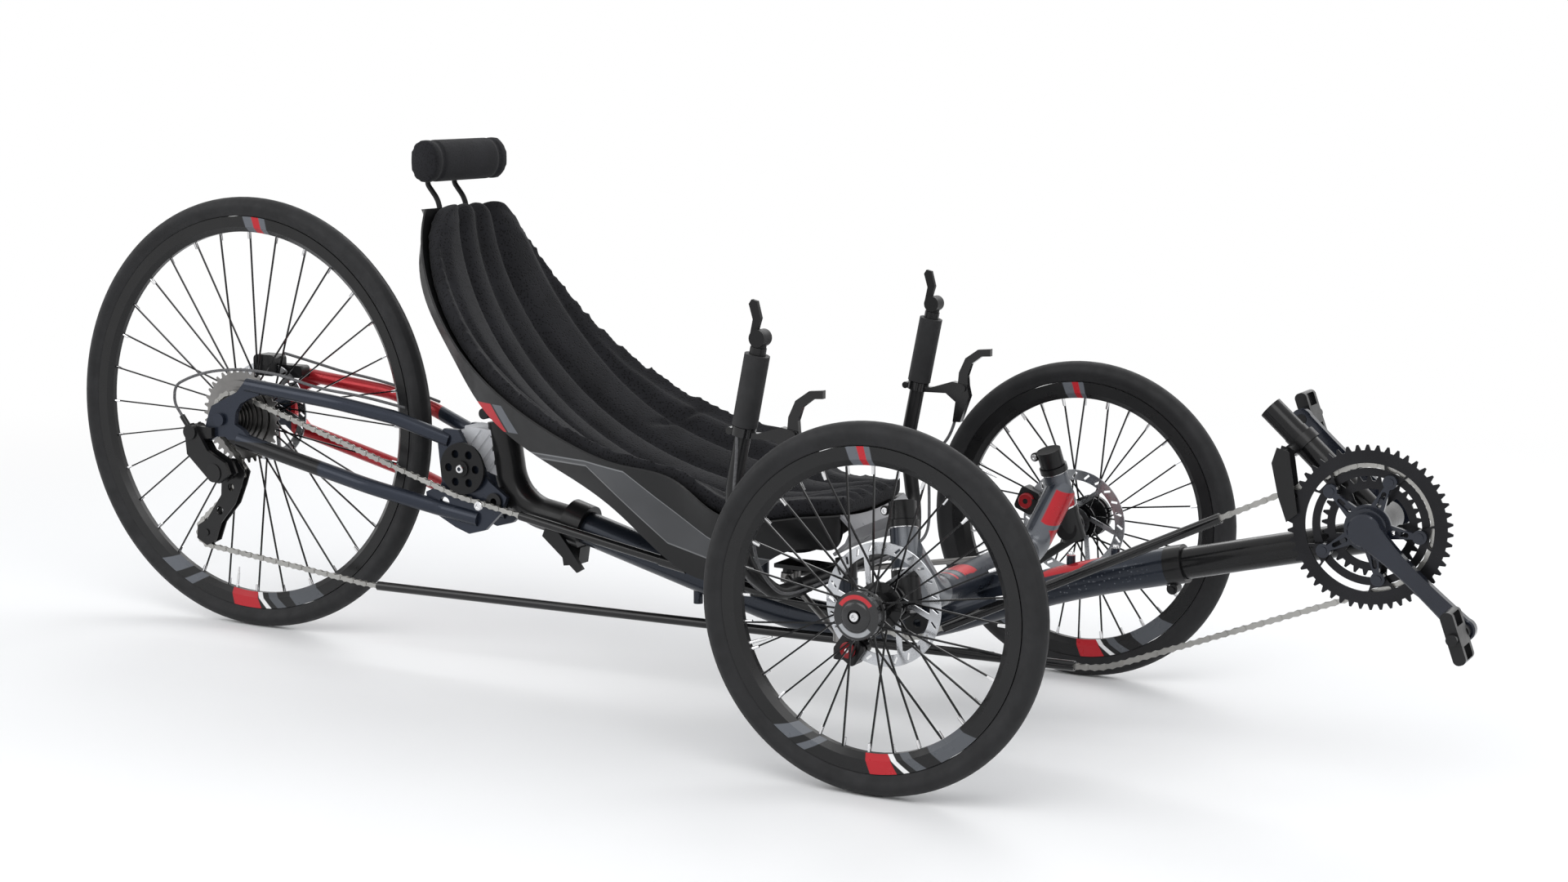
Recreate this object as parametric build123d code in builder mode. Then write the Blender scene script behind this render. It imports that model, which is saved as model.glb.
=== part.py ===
"""A recumbent tadpole trike: two steered front wheels, one larger driven rear wheel.

Millimetres. The trike is drawn with x = 0 at the front axle, +X forward, +Y to the
rider's left and +Z up from the ground. save() then puts the origin on the ground
under the middle of its length.
"""
from build123d import *
from math import asin, atan2, ceil, cos, hypot, pi, radians, sin, sqrt, tan
import os

os.makedirs("parts", exist_ok=True)

# Wheels and stance. REAR_X carries the rear wheel, the swingarm and the cockpit.
WHEELBASE = 1280
TRACK = 720
FRONT_WHEEL_R = 238
REAR_WHEEL_R = 346
TYRE_WIDTH = 35
TYRE_HEIGHT = 30
RIM_WIDTH = 24
RIM_DEPTH = 25
SPOKES = 32
SPOKE = 2.2
HUB_REACH = 45
REAR_X = -WHEELBASE
REAR_AXLE_Z = REAR_WHEEL_R
FRONT_AXLE_Z = FRONT_WHEEL_R
GAP = 0.3
RUNNING = 0.05

# Brake discs
DISC_R = 80
DISC_BAND = 15
DISC_THICK = 2
DISC_SLOTS = 24
FRONT_DISC_IN = 35
REAR_DISC_Y = 34

# Steering
KINGPIN_IN = 96
KINGPIN_X = 0
KINGPIN_Y = TRACK / 2 - KINGPIN_IN
KINGPIN_Z = FRONT_AXLE_Z + 61
CASTER = 12
KPI = 16
HEAD_TUBE = 54
HEAD_TUBE_D = 36
STEERER_D = 28.6
ARM_BACK = 92
ARM_OUT = 12
BAR_X = REAR_X + 1065
BAR_Z = FRONT_AXLE_Z - 34
ROD_Z = BAR_Z - 19
HANDLE_Z = FRONT_AXLE_Z - 62
BAR_TUBE = 22
BAR_WIDTH = 540
GRIP_D = 34

# Main frame
MAIN_TUBE = 50
CROSS_TUBE = 44
CROSS_X = -5
CROSS_Z = FRONT_AXLE_Z - 16
CROSS_BEND_Y = KINGPIN_Y - 92
LOW_X, LOW_Z = BAR_X + 25, CROSS_Z - 121
RISE_X, RISE_Z = 120, CROSS_Z
COLLAR_X, COLLAR_Z = 262, RISE_Z + 35.4
BOOM_TUBE = 42

# Crank and chain
BB_X = 541
BB_Z = COLLAR_Z + 87.6
BB_SHELL_D = 42
BB_SHELL_W = 68
SPINDLE = 24
CHAIN_Y = -48
RING_PITCH = 7
RING_THICK = 2.2
CHAIN_PITCH = 12.7
CHAIN_HEIGHT = 7.5
CHAIN_WIDTH = 6
BIG_RING, MIDDLE_RING, SMALL_RING = 50, 39, 30
BOLT_CIRCLE = 130
BOLT_D = 10
CRANK_LENGTH = 170
CRANK_ANGLE = -40.6
CRANK_Y = 72
CRANK_THICK = 13
PEDAL_Y = 118
POST_D = 31.8
POST_LEAN = (-149, 134)
SPROCKETS = (11, 12, 13, 15, 17, 19, 22, 25, 30, 36)
SPROCKET_STEP = 4.1
SPROCKET_THICK = 1.6
CHAIN_SPROCKET = 4

# Rear end, measured from the rear axle and from the suspension pivot
PIVOT_X, PIVOT_Z = REAR_X + 494, LOW_Z + 153
PIVOT_D = 30
CLAMP_X, CLAMP_Z = PIVOT_X + 125, PIVOT_Z - 30
RISER_TUBE = 48
STAY_Y = 74
DROPOUT = 9
YOKE_Y = 33
YOKE_THICK = 8

# Chain guides
TUBE_D = 14
REAR_IDLER_X, REAR_IDLER_Z, REAR_IDLER_R = PIVOT_X - 53, PIVOT_Z + 47, 44
FRONT_IDLER_X, FRONT_IDLER_Z, FRONT_IDLER_R = BAR_X + 123, LOW_Z + 69, 42
JOCKEY_R = 22.5
UPPER_JOCKEY = (REAR_X - 3, REAR_AXLE_Z - 84)
LOWER_JOCKEY = (REAR_X - 54, REAR_AXLE_Z - 190)

# Seat
SEAT_X, SEAT_Z = REAR_X + 408, LOW_Z + 161
SEAT_SHELL = 5
CUSHION = 27
SEAT_GAP = 2.6
HEADREST_DEPTH, HEADREST_HEIGHT, HEADREST_WIDTH = 52, 66, 194
HEADREST_X, HEADREST_Z = SEAT_X, SEAT_Z + 500

# The length, from the rear tyre to the front of the forward pedal
PEDAL_LENGTH = 66
PEDAL_THICK = 16
PEDAL_ROUND = 7
PEDAL_TILT = -70
PEDAL_X = BB_X + CRANK_LENGTH * cos(radians(CRANK_ANGLE))
PEDAL_Z = BB_Z + CRANK_LENGTH * sin(radians(CRANK_ANGLE))
BACK_PEDAL_X = 2 * BB_X - PEDAL_X
BACK_PEDAL_Z = 2 * BB_Z - PEDAL_Z
straight_along = PEDAL_LENGTH / 2 - PEDAL_ROUND
straight_up = PEDAL_THICK / 2 - PEDAL_ROUND
tilt = radians(-PEDAL_TILT)
FRONT_END = PEDAL_X + straight_along * cos(tilt) + straight_up * sin(tilt) + PEDAL_ROUND
REAR_END = REAR_X - REAR_WHEEL_R
MIDDLE_X = (FRONT_END + REAR_END) / 2


def pitch_radius(teeth):
    return CHAIN_PITCH / 2 / sin(pi / teeth)


def under_chain(radius):
    """The largest radius that stays clear under a chain wrapped at this pitch radius."""
    return radius * cos(CHAIN_PITCH / 2 / radius) - CHAIN_HEIGHT / 2 - 0.4


def save(piece, name):
    """Move a finished piece to the origin under the middle of the length and write it."""
    placed = Pos(-MIDDLE_X, 0, 0) * piece
    placed.label = name
    export_step(placed, f"parts/{name}.step")


def across(x, y, z):
    """A plane that faces +Y, with its own x along +X and its own y downwards."""
    return Plane(origin=(x, y, z), x_dir=(1, 0, 0), z_dir=(0, 1, 0))


def side(y):
    """The side view at y: own x is X, own y is Z, and it faces the right side, -Y."""
    return Plane(origin=(0, y, 0), x_dir=(1, 0, 0), z_dir=(0, -1, 0))


def turned(centre, out, outline):
    """A body turned about Y. The outline's points are (distance outwards, radius)."""
    with BuildPart() as body:
        with BuildSketch(Plane(origin=centre, x_dir=(0, out, 0), z_dir=(out, 0, 0))):
            with BuildLine():
                Polyline(*outline, close=True)
            make_face()
        revolve(axis=Axis(centre, (0, 1, 0)))
    return body.part


def rod(start, end, diameter):
    """A round bar from one point to another."""
    run = Vector(*end) - Vector(*start)
    with BuildPart() as bar:
        with BuildSketch(Plane(origin=start, z_dir=run)):
            Circle(diameter / 2)
        extrude(amount=run.length)
    return bar.part


def tube(points, radii, diameter):
    """A round tube along straight runs joined by tangent arcs."""
    with BuildPart() as pipe:
        with BuildLine() as route:
            FilletPolyline(*points, radius=radii)
        with BuildSketch(Plane(origin=route.line @ 0, z_dir=route.line % 0)):
            Circle(diameter / 2)
        sweep()
    return pipe.part


def plate(outline, y, thickness, holes=()):
    """A flat plate in the side view, from y outwards to y minus thickness."""
    with BuildPart() as flat:
        with BuildSketch(side(y)):
            with BuildLine():
                Polyline(*outline, close=True)
            make_face()
            for x, z, radius in holes:
                with Locations((x, z)):
                    Circle(radius, mode=Mode.SUBTRACT)
        extrude(amount=thickness)
    return flat.part


# Tyres and rims: half outlines as (distance from the middle, height above the rim seat)
HALF_TYRE = ((11, 0), (TYRE_WIDTH / 2, 13), (11.5, 26.5))


def tyre(centre, radius):
    seat = radius - TYRE_HEIGHT
    half = [(out_by, seat + up) for out_by, up in HALF_TYRE]
    mirrored = [(-out_by, up) for out_by, up in reversed(half)]
    return turned(centre, 1, half + [(0, radius)] + mirrored)


def rim(centre, radius):
    seat = radius - TYRE_HEIGHT - GAP
    inner = radius - TYRE_HEIGHT - RIM_DEPTH
    half = ((RIM_WIDTH / 2, seat), (RIM_WIDTH / 2 - 1, inner + 8), (4, inner))
    mirrored = tuple((-out_by, up) for out_by, up in reversed(half))
    return turned(centre, 1, half + mirrored)


def spoked_hub(centre, out, outline, flanges, rim_radius):
    """A hub with its spokes. Each flange is (distance outwards, spoke circle radius)."""
    body = turned(centre, out, outline)
    reach = rim_radius - GAP
    with BuildPart() as hub:
        add(body)
        for first, (distance, circle) in enumerate(flanges):
            for index in range(first, SPOKES, 2):
                at_rim = 360 / SPOKES * index
                at_hub = at_rim + (22 if index % 4 < 2 else -22)
                start = Vector(
                    centre[0] + circle * cos(radians(at_hub)),
                    centre[1] + out * distance,
                    centre[2] + circle * sin(radians(at_hub)),
                )
                end = Vector(
                    centre[0] + reach * cos(radians(at_rim)),
                    centre[1] + out * distance * 0.12,
                    centre[2] + reach * sin(radians(at_rim)),
                )
                with BuildSketch(Plane(origin=start, z_dir=end - start)):
                    Rectangle(SPOKE, SPOKE)
            extrude(amount=(end - start).length - 0.15)
    return hub.part


def disc(centre, bore):
    """A brake disc: a slotted band on six arms that lean with the turning."""
    with BuildPart() as brake:
        with BuildSketch(across(centre[0], centre[1] - DISC_THICK / 2, centre[2])):
            Circle(DISC_R)
            Circle(DISC_R - DISC_BAND, mode=Mode.SUBTRACT)
            with PolarLocations(DISC_R - DISC_BAND / 2, DISC_SLOTS):
                Rectangle(10, 3.2, rotation=35, mode=Mode.SUBTRACT)
            Circle(bore + 8)
            Circle(bore, mode=Mode.SUBTRACT)
            with PolarLocations((DISC_R - DISC_BAND + bore + 8) / 2, 6):
                Rectangle(DISC_R - DISC_BAND - bore - 5, 7, rotation=24)
        extrude(amount=DISC_THICK)
    return brake.part


# Front wheels
FRONT_RIM_IN = FRONT_WHEEL_R - TYRE_HEIGHT - RIM_DEPTH
DISC_FACE = -FRONT_DISC_IN + DISC_THICK / 2
DISC_BORE = 16
AXLE_D = 15
HUB_END = TRACK / 2 + HUB_REACH
AXLE_BORE = AXLE_D / 2 + RUNNING
FLANGE = 31
FRONT_HUB = (
    (DISC_FACE - 12, AXLE_BORE),
    (DISC_FACE - 12, 12),
    (DISC_FACE - 4, DISC_BORE - GAP),
    (DISC_FACE, DISC_BORE - GAP),
    (DISC_FACE, 22),
    (DISC_FACE + 7, 22),
    (DISC_FACE + 7, FLANGE),
    (DISC_FACE + 10.5, FLANGE),
    (DISC_FACE + 14, 19),
    (18, 17),
    (21, FLANGE),
    (24.5, FLANGE),
    (26, 29),
    (HUB_REACH - 9, 27),
    (HUB_REACH - 4, 20),
    (HUB_REACH, 17),
    (HUB_REACH, AXLE_BORE),
)
for name, out in (("right", -1), ("left", 1)):
    centre = (0, out * TRACK / 2, FRONT_AXLE_Z)
    save(tyre(centre, FRONT_WHEEL_R), f"front_tyre_{name}")
    save(rim(centre, FRONT_WHEEL_R), f"front_rim_{name}")
    flanges = ((DISC_FACE + 8.7, FLANGE - 3.5), (22.7, FLANGE - 3.5))
    hub = spoked_hub(centre, out, FRONT_HUB, flanges, FRONT_RIM_IN)
    save(hub, f"front_hub_{name}")
    disc_centre = (0, out * (TRACK / 2 - FRONT_DISC_IN), FRONT_AXLE_Z)
    save(disc(disc_centre, DISC_BORE), f"front_disc_{name}")

# Rear wheel
REAR = (REAR_X, 0, REAR_AXLE_Z)
REAR_RIM_IN = REAR_WHEEL_R - TYRE_HEIGHT - RIM_DEPTH
save(tyre(REAR, REAR_WHEEL_R), "rear_tyre")
save(rim(REAR, REAR_WHEEL_R), "rear_rim")
FREEHUB_R = under_chain(pitch_radius(SPROCKETS[0])) - 1.5
REAR_AXLE_D = 12
REAR_BORE = REAR_AXLE_D / 2 + RUNNING
REAR_FACE = -REAR_DISC_Y + DISC_THICK / 2
FREEHUB_END = -CHAIN_Y + CHAIN_SPROCKET * SPROCKET_STEP
REAR_HUB = (
    (-STAY_Y + 11, REAR_BORE),
    (-STAY_Y + 11, 11),
    (REAR_FACE - 14, 11),
    (REAR_FACE - 6, DISC_BORE - GAP),
    (REAR_FACE, DISC_BORE - GAP),
    (REAR_FACE, 22),
    (REAR_FACE + 5, 22),
    (REAR_FACE + 5, 29),
    (REAR_FACE + 8, 29),
    (REAR_FACE + 11, 16),
    (12, 16),
    (14.5, 29),
    (17.5, 29),
    (18, FREEHUB_R),
    (FREEHUB_END, FREEHUB_R),
    (FREEHUB_END, REAR_BORE),
)
rear_flanges = ((REAR_FACE + 6.5, 26), (16, 26))
save(spoked_hub(REAR, -1, REAR_HUB, rear_flanges, REAR_RIM_IN), "rear_hub")
save(disc((REAR_X, REAR_DISC_Y, REAR_AXLE_Z), DISC_BORE), "rear_disc")


def toothed(centre, teeth, thickness, bore):
    """A chainring or sprocket facing Y, with one pointed tooth to each chain pitch."""
    root = pitch_radius(teeth) - 3.6
    tip = pitch_radius(teeth) + 3.4
    turn = 360 / teeth
    points = []
    for index in range(teeth):
        for share, radius in ((-0.32, root), (-0.1, tip), (0.1, tip), (0.32, root)):
            angle = radians(turn * (index + share))
            points.append((radius * cos(angle), radius * sin(angle)))
    with BuildPart() as wheel:
        with BuildSketch(across(centre[0], centre[1] - thickness / 2, centre[2])):
            with BuildLine():
                Polyline(*points, close=True)
            make_face()
            Circle(bore, mode=Mode.SUBTRACT)
        extrude(amount=thickness)
    return wheel.part


# The cassette: a stack of sprockets on one carrier, the largest toothed
with BuildPart() as cassette:
    for index, teeth in enumerate(SPROCKETS):
        y = CHAIN_Y - (CHAIN_SPROCKET - index) * SPROCKET_STEP
        if index == len(SPROCKETS) - 1:
            add(toothed((REAR_X, y, REAR_AXLE_Z), teeth, SPROCKET_THICK, FREEHUB_R + GAP))
        else:
            with BuildSketch(across(REAR_X, y - SPROCKET_THICK / 2, REAR_AXLE_Z)):
                Circle(under_chain(pitch_radius(teeth)))
                Circle(FREEHUB_R + GAP, mode=Mode.SUBTRACT)
            extrude(amount=SPROCKET_THICK)
    first_y = CHAIN_Y - CHAIN_SPROCKET * SPROCKET_STEP
    with BuildSketch(across(REAR_X, first_y, REAR_AXLE_Z)):
        Circle(FREEHUB_R + 3.5)
        Circle(FREEHUB_R + GAP, mode=Mode.SUBTRACT)
    extrude(amount=SPROCKET_STEP * (len(SPROCKETS) - 1))
save(cassette.part, "cassette")

# Crankset: spindle, five-legged spider and both arms
BIG_RING_Y = CHAIN_Y - RING_PITCH
SMALL_RING_Y = CHAIN_Y + RING_PITCH
SPIDER = BIG_RING_Y - 2
SPIDER_THICK = 6
SPIDER_TURN = -CRANK_ANGLE + 36
SMALL_CIRCLE = 37
SMALL_BOLT = 4


def crank_arm(out, end_x, end_z):
    """A crank arm that narrows from the spindle boss to the pedal boss."""
    run_x, run_z = end_x - BB_X, end_z - BB_Z
    aim = (run_x / CRANK_LENGTH, 0, run_z / CRANK_LENGTH)
    face = Plane(origin=(BB_X, out * CRANK_Y, BB_Z), x_dir=aim, z_dir=(0, out, 0))
    edge = ((0, 20), (34, 14), (CRANK_LENGTH * 0.7, 11), (CRANK_LENGTH, 13))
    with BuildPart() as arm:
        with BuildSketch(face):
            with BuildLine():
                Spline(*edge)
                Line(edge[-1], (CRANK_LENGTH, -13))
                Spline(*[(along, -across_by) for along, across_by in reversed(edge)])
                Line((0, -20), (0, 20))
            make_face()
            Circle(21)
            with Locations((CRANK_LENGTH, 0)):
                Circle(14)
                Circle(7 + RUNNING, mode=Mode.SUBTRACT)
        extrude(amount=CRANK_THICK)
        top = arm.faces().sort_by(Axis.Y)[-1 if out > 0 else 0]
        chamfer(top.outer_wire().edges(), 2)
    return arm.part


with BuildPart() as crankset:
    add(crank_arm(-1, PEDAL_X, PEDAL_Z))
    add(crank_arm(1, BACK_PEDAL_X, BACK_PEDAL_Z))
    add(rod((BB_X, -CRANK_Y - 2, BB_Z), (BB_X, CRANK_Y + 2, BB_Z), SPINDLE))
    with BuildSketch(across(BB_X, SPIDER - SPIDER_THICK, BB_Z)):
        Circle(30)
        with PolarLocations(BOLT_CIRCLE / 4 + 8, 5, start_angle=SPIDER_TURN):
            Trapezoid(22, BOLT_CIRCLE / 2 - 16, 80, rotation=-90)
        with PolarLocations(BOLT_CIRCLE / 2, 5, start_angle=SPIDER_TURN):
            Circle(9)
        with PolarLocations(BOLT_CIRCLE / 4 + 8, 5, start_angle=SPIDER_TURN):
            SlotOverall(22, 6, mode=Mode.SUBTRACT)
    extrude(amount=SPIDER_THICK)
    with BuildSketch(across(BB_X, -CRANK_Y - 1, BB_Z)):
        Circle(26)
    extrude(amount=CRANK_Y + 1 + SPIDER)
    with BuildSketch(across(BB_X, SPIDER - SPIDER_THICK - 1.5, BB_Z)):
        with PolarLocations(BOLT_CIRCLE / 2, 5, start_angle=SPIDER_TURN):
            Circle(BOLT_D / 2)
    extrude(amount=CHAIN_Y + 5 - SPIDER + SPIDER_THICK + 1.5)
    with BuildSketch(across(BB_X, SPIDER - 2, BB_Z)):
        with PolarLocations(SMALL_CIRCLE, 5, start_angle=SPIDER_TURN):
            Circle(SMALL_BOLT)
    extrude(amount=SMALL_RING_Y + 2 - SPIDER + 2)
save(crankset.part, "crankset")


def chainring(teeth, y, band, circle, bolt, plain):
    """A ring on five tabs, band wide. A plain ring stops just inside its chain."""
    pitch = pitch_radius(teeth)
    inner = pitch - 3.6 - band
    shape = toothed((BB_X, y, BB_Z), teeth, RING_THICK, inner)
    if plain:
        shape = shape & rod((BB_X, y - 3, BB_Z), (BB_X, y + 3, BB_Z), 2 * under_chain(pitch))
    reach = inner + 3 - circle
    with BuildPart() as ring:
        add(shape)
        with BuildSketch(across(BB_X, y - RING_THICK / 2, BB_Z)):
            with PolarLocations(circle, 5, start_angle=SPIDER_TURN):
                Circle(bolt + 4)
            with PolarLocations(circle + reach / 2, 5, start_angle=SPIDER_TURN):
                Trapezoid(2 * bolt + 8 + reach, reach, 63, rotation=90)
            if reach > 16:
                with PolarLocations(inner - 2, 5, start_angle=SPIDER_TURN):
                    SlotOverall(26, 7, rotation=90, mode=Mode.SUBTRACT)
        extrude(amount=RING_THICK)
        with BuildSketch(across(BB_X, y - RING_THICK / 2, BB_Z)):
            with PolarLocations(circle, 5, start_angle=SPIDER_TURN):
                Circle(bolt + GAP)
        extrude(amount=RING_THICK, mode=Mode.SUBTRACT)
    return ring.part


# Chainrings as (teeth, y, band, bolt circle radius, bolt radius, plain)
RINGS = (
    (BIG_RING, BIG_RING_Y, 16, BOLT_CIRCLE / 2, BOLT_D / 2, False),
    (MIDDLE_RING, CHAIN_Y, 11, BOLT_CIRCLE / 2, BOLT_D / 2, True),
    (SMALL_RING, SMALL_RING_Y, 10, SMALL_CIRCLE, SMALL_BOLT, False),
)
with BuildPart() as chainrings:
    for teeth, y, band, circle, bolt, plain in RINGS:
        add(chainring(teeth, y, band, circle, bolt, plain))
save(chainrings.part, "chainrings")

# Pedals: a cage round a spindle
for name, out, x, z in (("right", -1, PEDAL_X, PEDAL_Z), ("left", 1, BACK_PEDAL_X, BACK_PEDAL_Z)):
    tread = Vector(cos(radians(PEDAL_TILT)), 0, sin(radians(PEDAL_TILT)))
    with BuildPart() as pedal:
        add(rod((x, out * (CRANK_Y - 1), z), (x, out * (PEDAL_Y + 30), z), 14))
        add(rod((x, out * (CRANK_Y + CRANK_THICK + 0.5), z), (x, out * (PEDAL_Y - 20), z), 19))
        with BuildSketch(Plane(origin=(x, out * (PEDAL_Y - 22), z), x_dir=tread, z_dir=(0, out, 0))):
            RectangleRounded(PEDAL_LENGTH, PEDAL_THICK, PEDAL_ROUND)
        extrude(amount=44)
        with BuildSketch(Plane(origin=(x, out * (PEDAL_Y - 14), z), x_dir=tread, z_dir=(0, out, 0))):
            for along in (-21, 21):
                with Locations((along, 0)):
                    Rectangle(17, PEDAL_THICK + 2)
        extrude(amount=28, mode=Mode.SUBTRACT)
    save(pedal.part, f"pedal_{name}")

# Seat rows from the back's top to the nose: (dx, dz, half width, lip height, skirt
# half width, skirt height). The skirt turns down outside the lip.
SEAT = (
    (0, 430, 96, 8, 90, -5),
    (6, 378, 126, 16, 112, 3),
    (32, 298, 156, 30, 143, 8),
    (79, 218, 176, 44, 148, 11),
    (157, 133, 190, 62, 165, 12),
    (262, 63, 198, 76, 165, 19),
    (382, 18, 200, 83, 159, 0),
    (492, 0, 194, 78, 122, -68),
    (552, 1, 184, 40, 118, -60),
    (602, 8, 160, 22, 112, -33),
    (657, 22, 124, 14, 100, -36),
    (697, 30, 102, 9, 90, -20),
    (710, 18, 97, 6, 0, 0),
    (700, -2, 92, 5, 0, 0),
    (680, -20, 88, 4, 0, 0),
)
SKIRTED = 12


def seat_plane(index):
    """The plane of one seat row: own x is Y, own y is away from the shell's outside."""
    x, z = SEAT[index][:2]
    before, after = SEAT[max(index - 1, 0)], SEAT[min(index + 1, len(SEAT) - 1)]
    along = Vector(after[0] - before[0], 0, after[1] - before[1])
    return Plane(origin=(SEAT_X + x, 0, SEAT_Z + z), x_dir=(0, 1, 0), z_dir=along)


def seat_sections(low, high, inset, first=0, last=len(SEAT)):
    """Thick arcs across the seat, from low to high above the shell's inner face."""
    sections = []
    for index in range(first, last):
        half, lip = SEAT[index][2:4]
        radius = (half * half + lip * lip) / (2 * lip)
        width = half - inset
        rise = radius - sqrt(radius * radius - width * width)
        with BuildSketch(seat_plane(index)) as section:
            with BuildLine():
                ThreePointArc((-width, rise + low), (0, low), (width, rise + low))
                Line((width, rise + low), (width, rise + high))
                ThreePointArc((width, rise + high), (0, high), (-width, rise + high))
                Line((-width, rise + high), (-width, rise + low))
            make_face()
        sections.append(section.sketch)
    return sections


def shell_sections():
    """Whole shell sections: the dished floor with both side walls hanging from its lips."""
    sections = []
    for index in range(SKIRTED):
        half, lip, wide, drop = SEAT[index][2:]
        inner = half - 3
        floor = lip * (inner / half) ** 2 - SEAT_SHELL
        with BuildSketch(seat_plane(index)) as section:
            with BuildLine():
                ThreePointArc((-half, lip), (0, 0), (half, lip))
                Line((half, lip), (half + 2, lip - 2))
                Line((half + 2, lip - 2), (wide + 2, drop))
                Line((wide + 2, drop), (wide - 2, drop))
                Line((wide - 2, drop), (inner, floor))
                ThreePointArc((inner, floor), (0, -SEAT_SHELL), (-inner, floor))
                Line((-inner, floor), (2 - wide, drop))
                Line((2 - wide, drop), (-wide - 2, drop))
                Line((-wide - 2, drop), (-half - 2, lip - 2))
                Line((-half - 2, lip - 2), (-half, lip))
            make_face()
        sections.append(section.sketch)
    return sections


with BuildPart() as seat_space:
    loft(seat_sections(-SEAT_SHELL - GAP, 60, -6, 0, SKIRTED))

with BuildPart() as seat_shell:
    loft(shell_sections())
save(seat_shell.part, "seat_shell")

# The rolled lip in front of the shell
with BuildPart() as seat_lip:
    loft(seat_sections(-SEAT_SHELL, 0, 0, SKIRTED - 1), ruled=True)
save(Pos(GAP, 0, 0) * seat_lip.part, "seat_lip")

with BuildPart() as cushion:
    loft(seat_sections(SEAT_GAP, CUSHION, 12, 0, SKIRTED))
save(cushion.part, "seat_cushion")

# Headrest and its frame, whose foot plate lies on the back of the shell
HEADREST_BACK = HEADREST_X - HEADREST_DEPTH / 2
with BuildPart() as headrest:
    with BuildSketch(across(HEADREST_X, -HEADREST_WIDTH / 2, HEADREST_Z)):
        Ellipse(HEADREST_DEPTH / 2, HEADREST_HEIGHT / 2)
    extrude(amount=HEADREST_WIDTH)
save(headrest.part, "headrest_pad")

with BuildPart() as headrest_frame:
    for out in (-1, 1):
        route = (
            (SEAT_X - 8, out * 34, SEAT_Z + 355),
            (SEAT_X - 14, out * 34, SEAT_Z + 438),
            (HEADREST_BACK - 9, out * 34, SEAT_Z + 463),
            (HEADREST_BACK - 5, out * 34, HEADREST_Z),
        )
        add(tube(route, (40, 12), 8))
    with BuildSketch(Plane.YZ.offset(HEADREST_BACK - GAP - 6)):
        with Locations((0, HEADREST_Z)):
            RectangleRounded(120, 34, 8)
    extrude(amount=6)
    with BuildSketch(Plane.YZ.offset(SEAT_X - 13)):
        with Locations((0, SEAT_Z + 375)):
            RectangleRounded(104, 34, 8)
    extrude(amount=20)
    add(seat_space.part, mode=Mode.SUBTRACT)
save(headrest_frame.part, "headrest_frame")


# Main frame: low central tube, cross tube, head tubes and their bosses
def kingpin(out, z):
    """The point of the kingpin's axis at height z, and the axis pointing up."""
    drop = KINGPIN_Z - z
    point = (
        KINGPIN_X + drop * tan(radians(CASTER)),
        out * (KINGPIN_Y + drop * tan(radians(KPI))),
        z,
    )
    return Vector(*point), Vector(-tan(radians(CASTER)), -out * tan(radians(KPI)), 1).normalized()


def bend_radius(before, corner, after, share):
    """The arc that uses this share of the shorter run beside a corner."""
    into = Vector(*corner) - Vector(*before)
    away = Vector(*after) - Vector(*corner)
    return share * min(into.length, away.length) / tan(radians(into.get_angle(away)) / 2)


MAIN_END = (CLAMP_X + 10, 0, CLAMP_Z - 2)
LOW = (LOW_X, 0, LOW_Z)
RISE = (RISE_X, 0, RISE_Z)
COLLAR = (COLLAR_X, 0, COLLAR_Z)
SADDLES = (BAR_X - 215, BAR_X - 137)
# Small threaded bosses as (x, z, diameter, height), under or on the main tube
BOSSES = (
    (RISE_X + 4, RISE_Z + 26, 12, 10),
    (RISE_X + 67, RISE_Z + 42, 12, 10),
    (LOW_X - 266, LOW_Z + 38, 14, -12),
)
with BuildPart() as main_frame:
    low_bend = bend_radius(MAIN_END, LOW, RISE, 0.5)
    rise_bend = bend_radius(LOW, RISE, COLLAR, 0.6)
    add(tube((MAIN_END, LOW, RISE, COLLAR), (low_bend, rise_bend), MAIN_TUBE))
    cross = (
        (CROSS_X + 7, -KINGPIN_Y, KINGPIN_Z - 3),
        (CROSS_X, -CROSS_BEND_Y, CROSS_Z),
        (CROSS_X, CROSS_BEND_Y, CROSS_Z),
        (CROSS_X + 7, KINGPIN_Y, KINGPIN_Z - 3),
    )
    add(tube(cross, 80, CROSS_TUBE))
    for out in (-1, 1):
        middle, up = kingpin(out, KINGPIN_Z)
        add(rod(middle - up * HEAD_TUBE / 2, middle + up * HEAD_TUBE / 2, HEAD_TUBE_D))
    for out in (-1, 1):
        middle, up = kingpin(out, KINGPIN_Z)
        for end in (-1, 1):
            face = middle + up * (end * HEAD_TUBE / 2)
            add(rod(face, face + up * (end * 30), HEAD_TUBE_D + 30), mode=Mode.SUBTRACT)
        bore = up * (HEAD_TUBE / 2 + 5)
        add(rod(middle - bore, middle + bore, STEERER_D + 2 * GAP), mode=Mode.SUBTRACT)
    # The steering post and its pin
    add(rod((BAR_X, 0, LOW_Z + 19), (BAR_X, 0, BAR_Z - 14), 34))
    add(rod((BAR_X, 0, BAR_Z - 20), (BAR_X, 0, BAR_Z + 16), 12))
    # The front idler's axle
    add(rod((FRONT_IDLER_X, -10, FRONT_IDLER_Z), (FRONT_IDLER_X, CHAIN_Y - 8, FRONT_IDLER_Z), 10))
    # The seat's saddles stand on the tube and are cut to the shell
    for x in SADDLES:
        add(rod((x, 0, LOW_Z + 35), (x, 0, SEAT_Z + 40), 24))
    for x, z, diameter, height in BOSSES:
        add(rod((x, 0, z - height), (x, 0, z + height), diameter))
    # The gusset under the crossing of the two tubes
    gusset = ((-52, CROSS_Z - 62), (46, CROSS_Z - 32), (34, CROSS_Z), (-42, CROSS_Z))
    add(plate(gusset, 14, 28))
    add(seat_space.part, mode=Mode.SUBTRACT)
    add(Pos(0, 0, -GAP) * seat_shell.part, mode=Mode.SUBTRACT)
save(main_frame.part, "main_frame")

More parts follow.
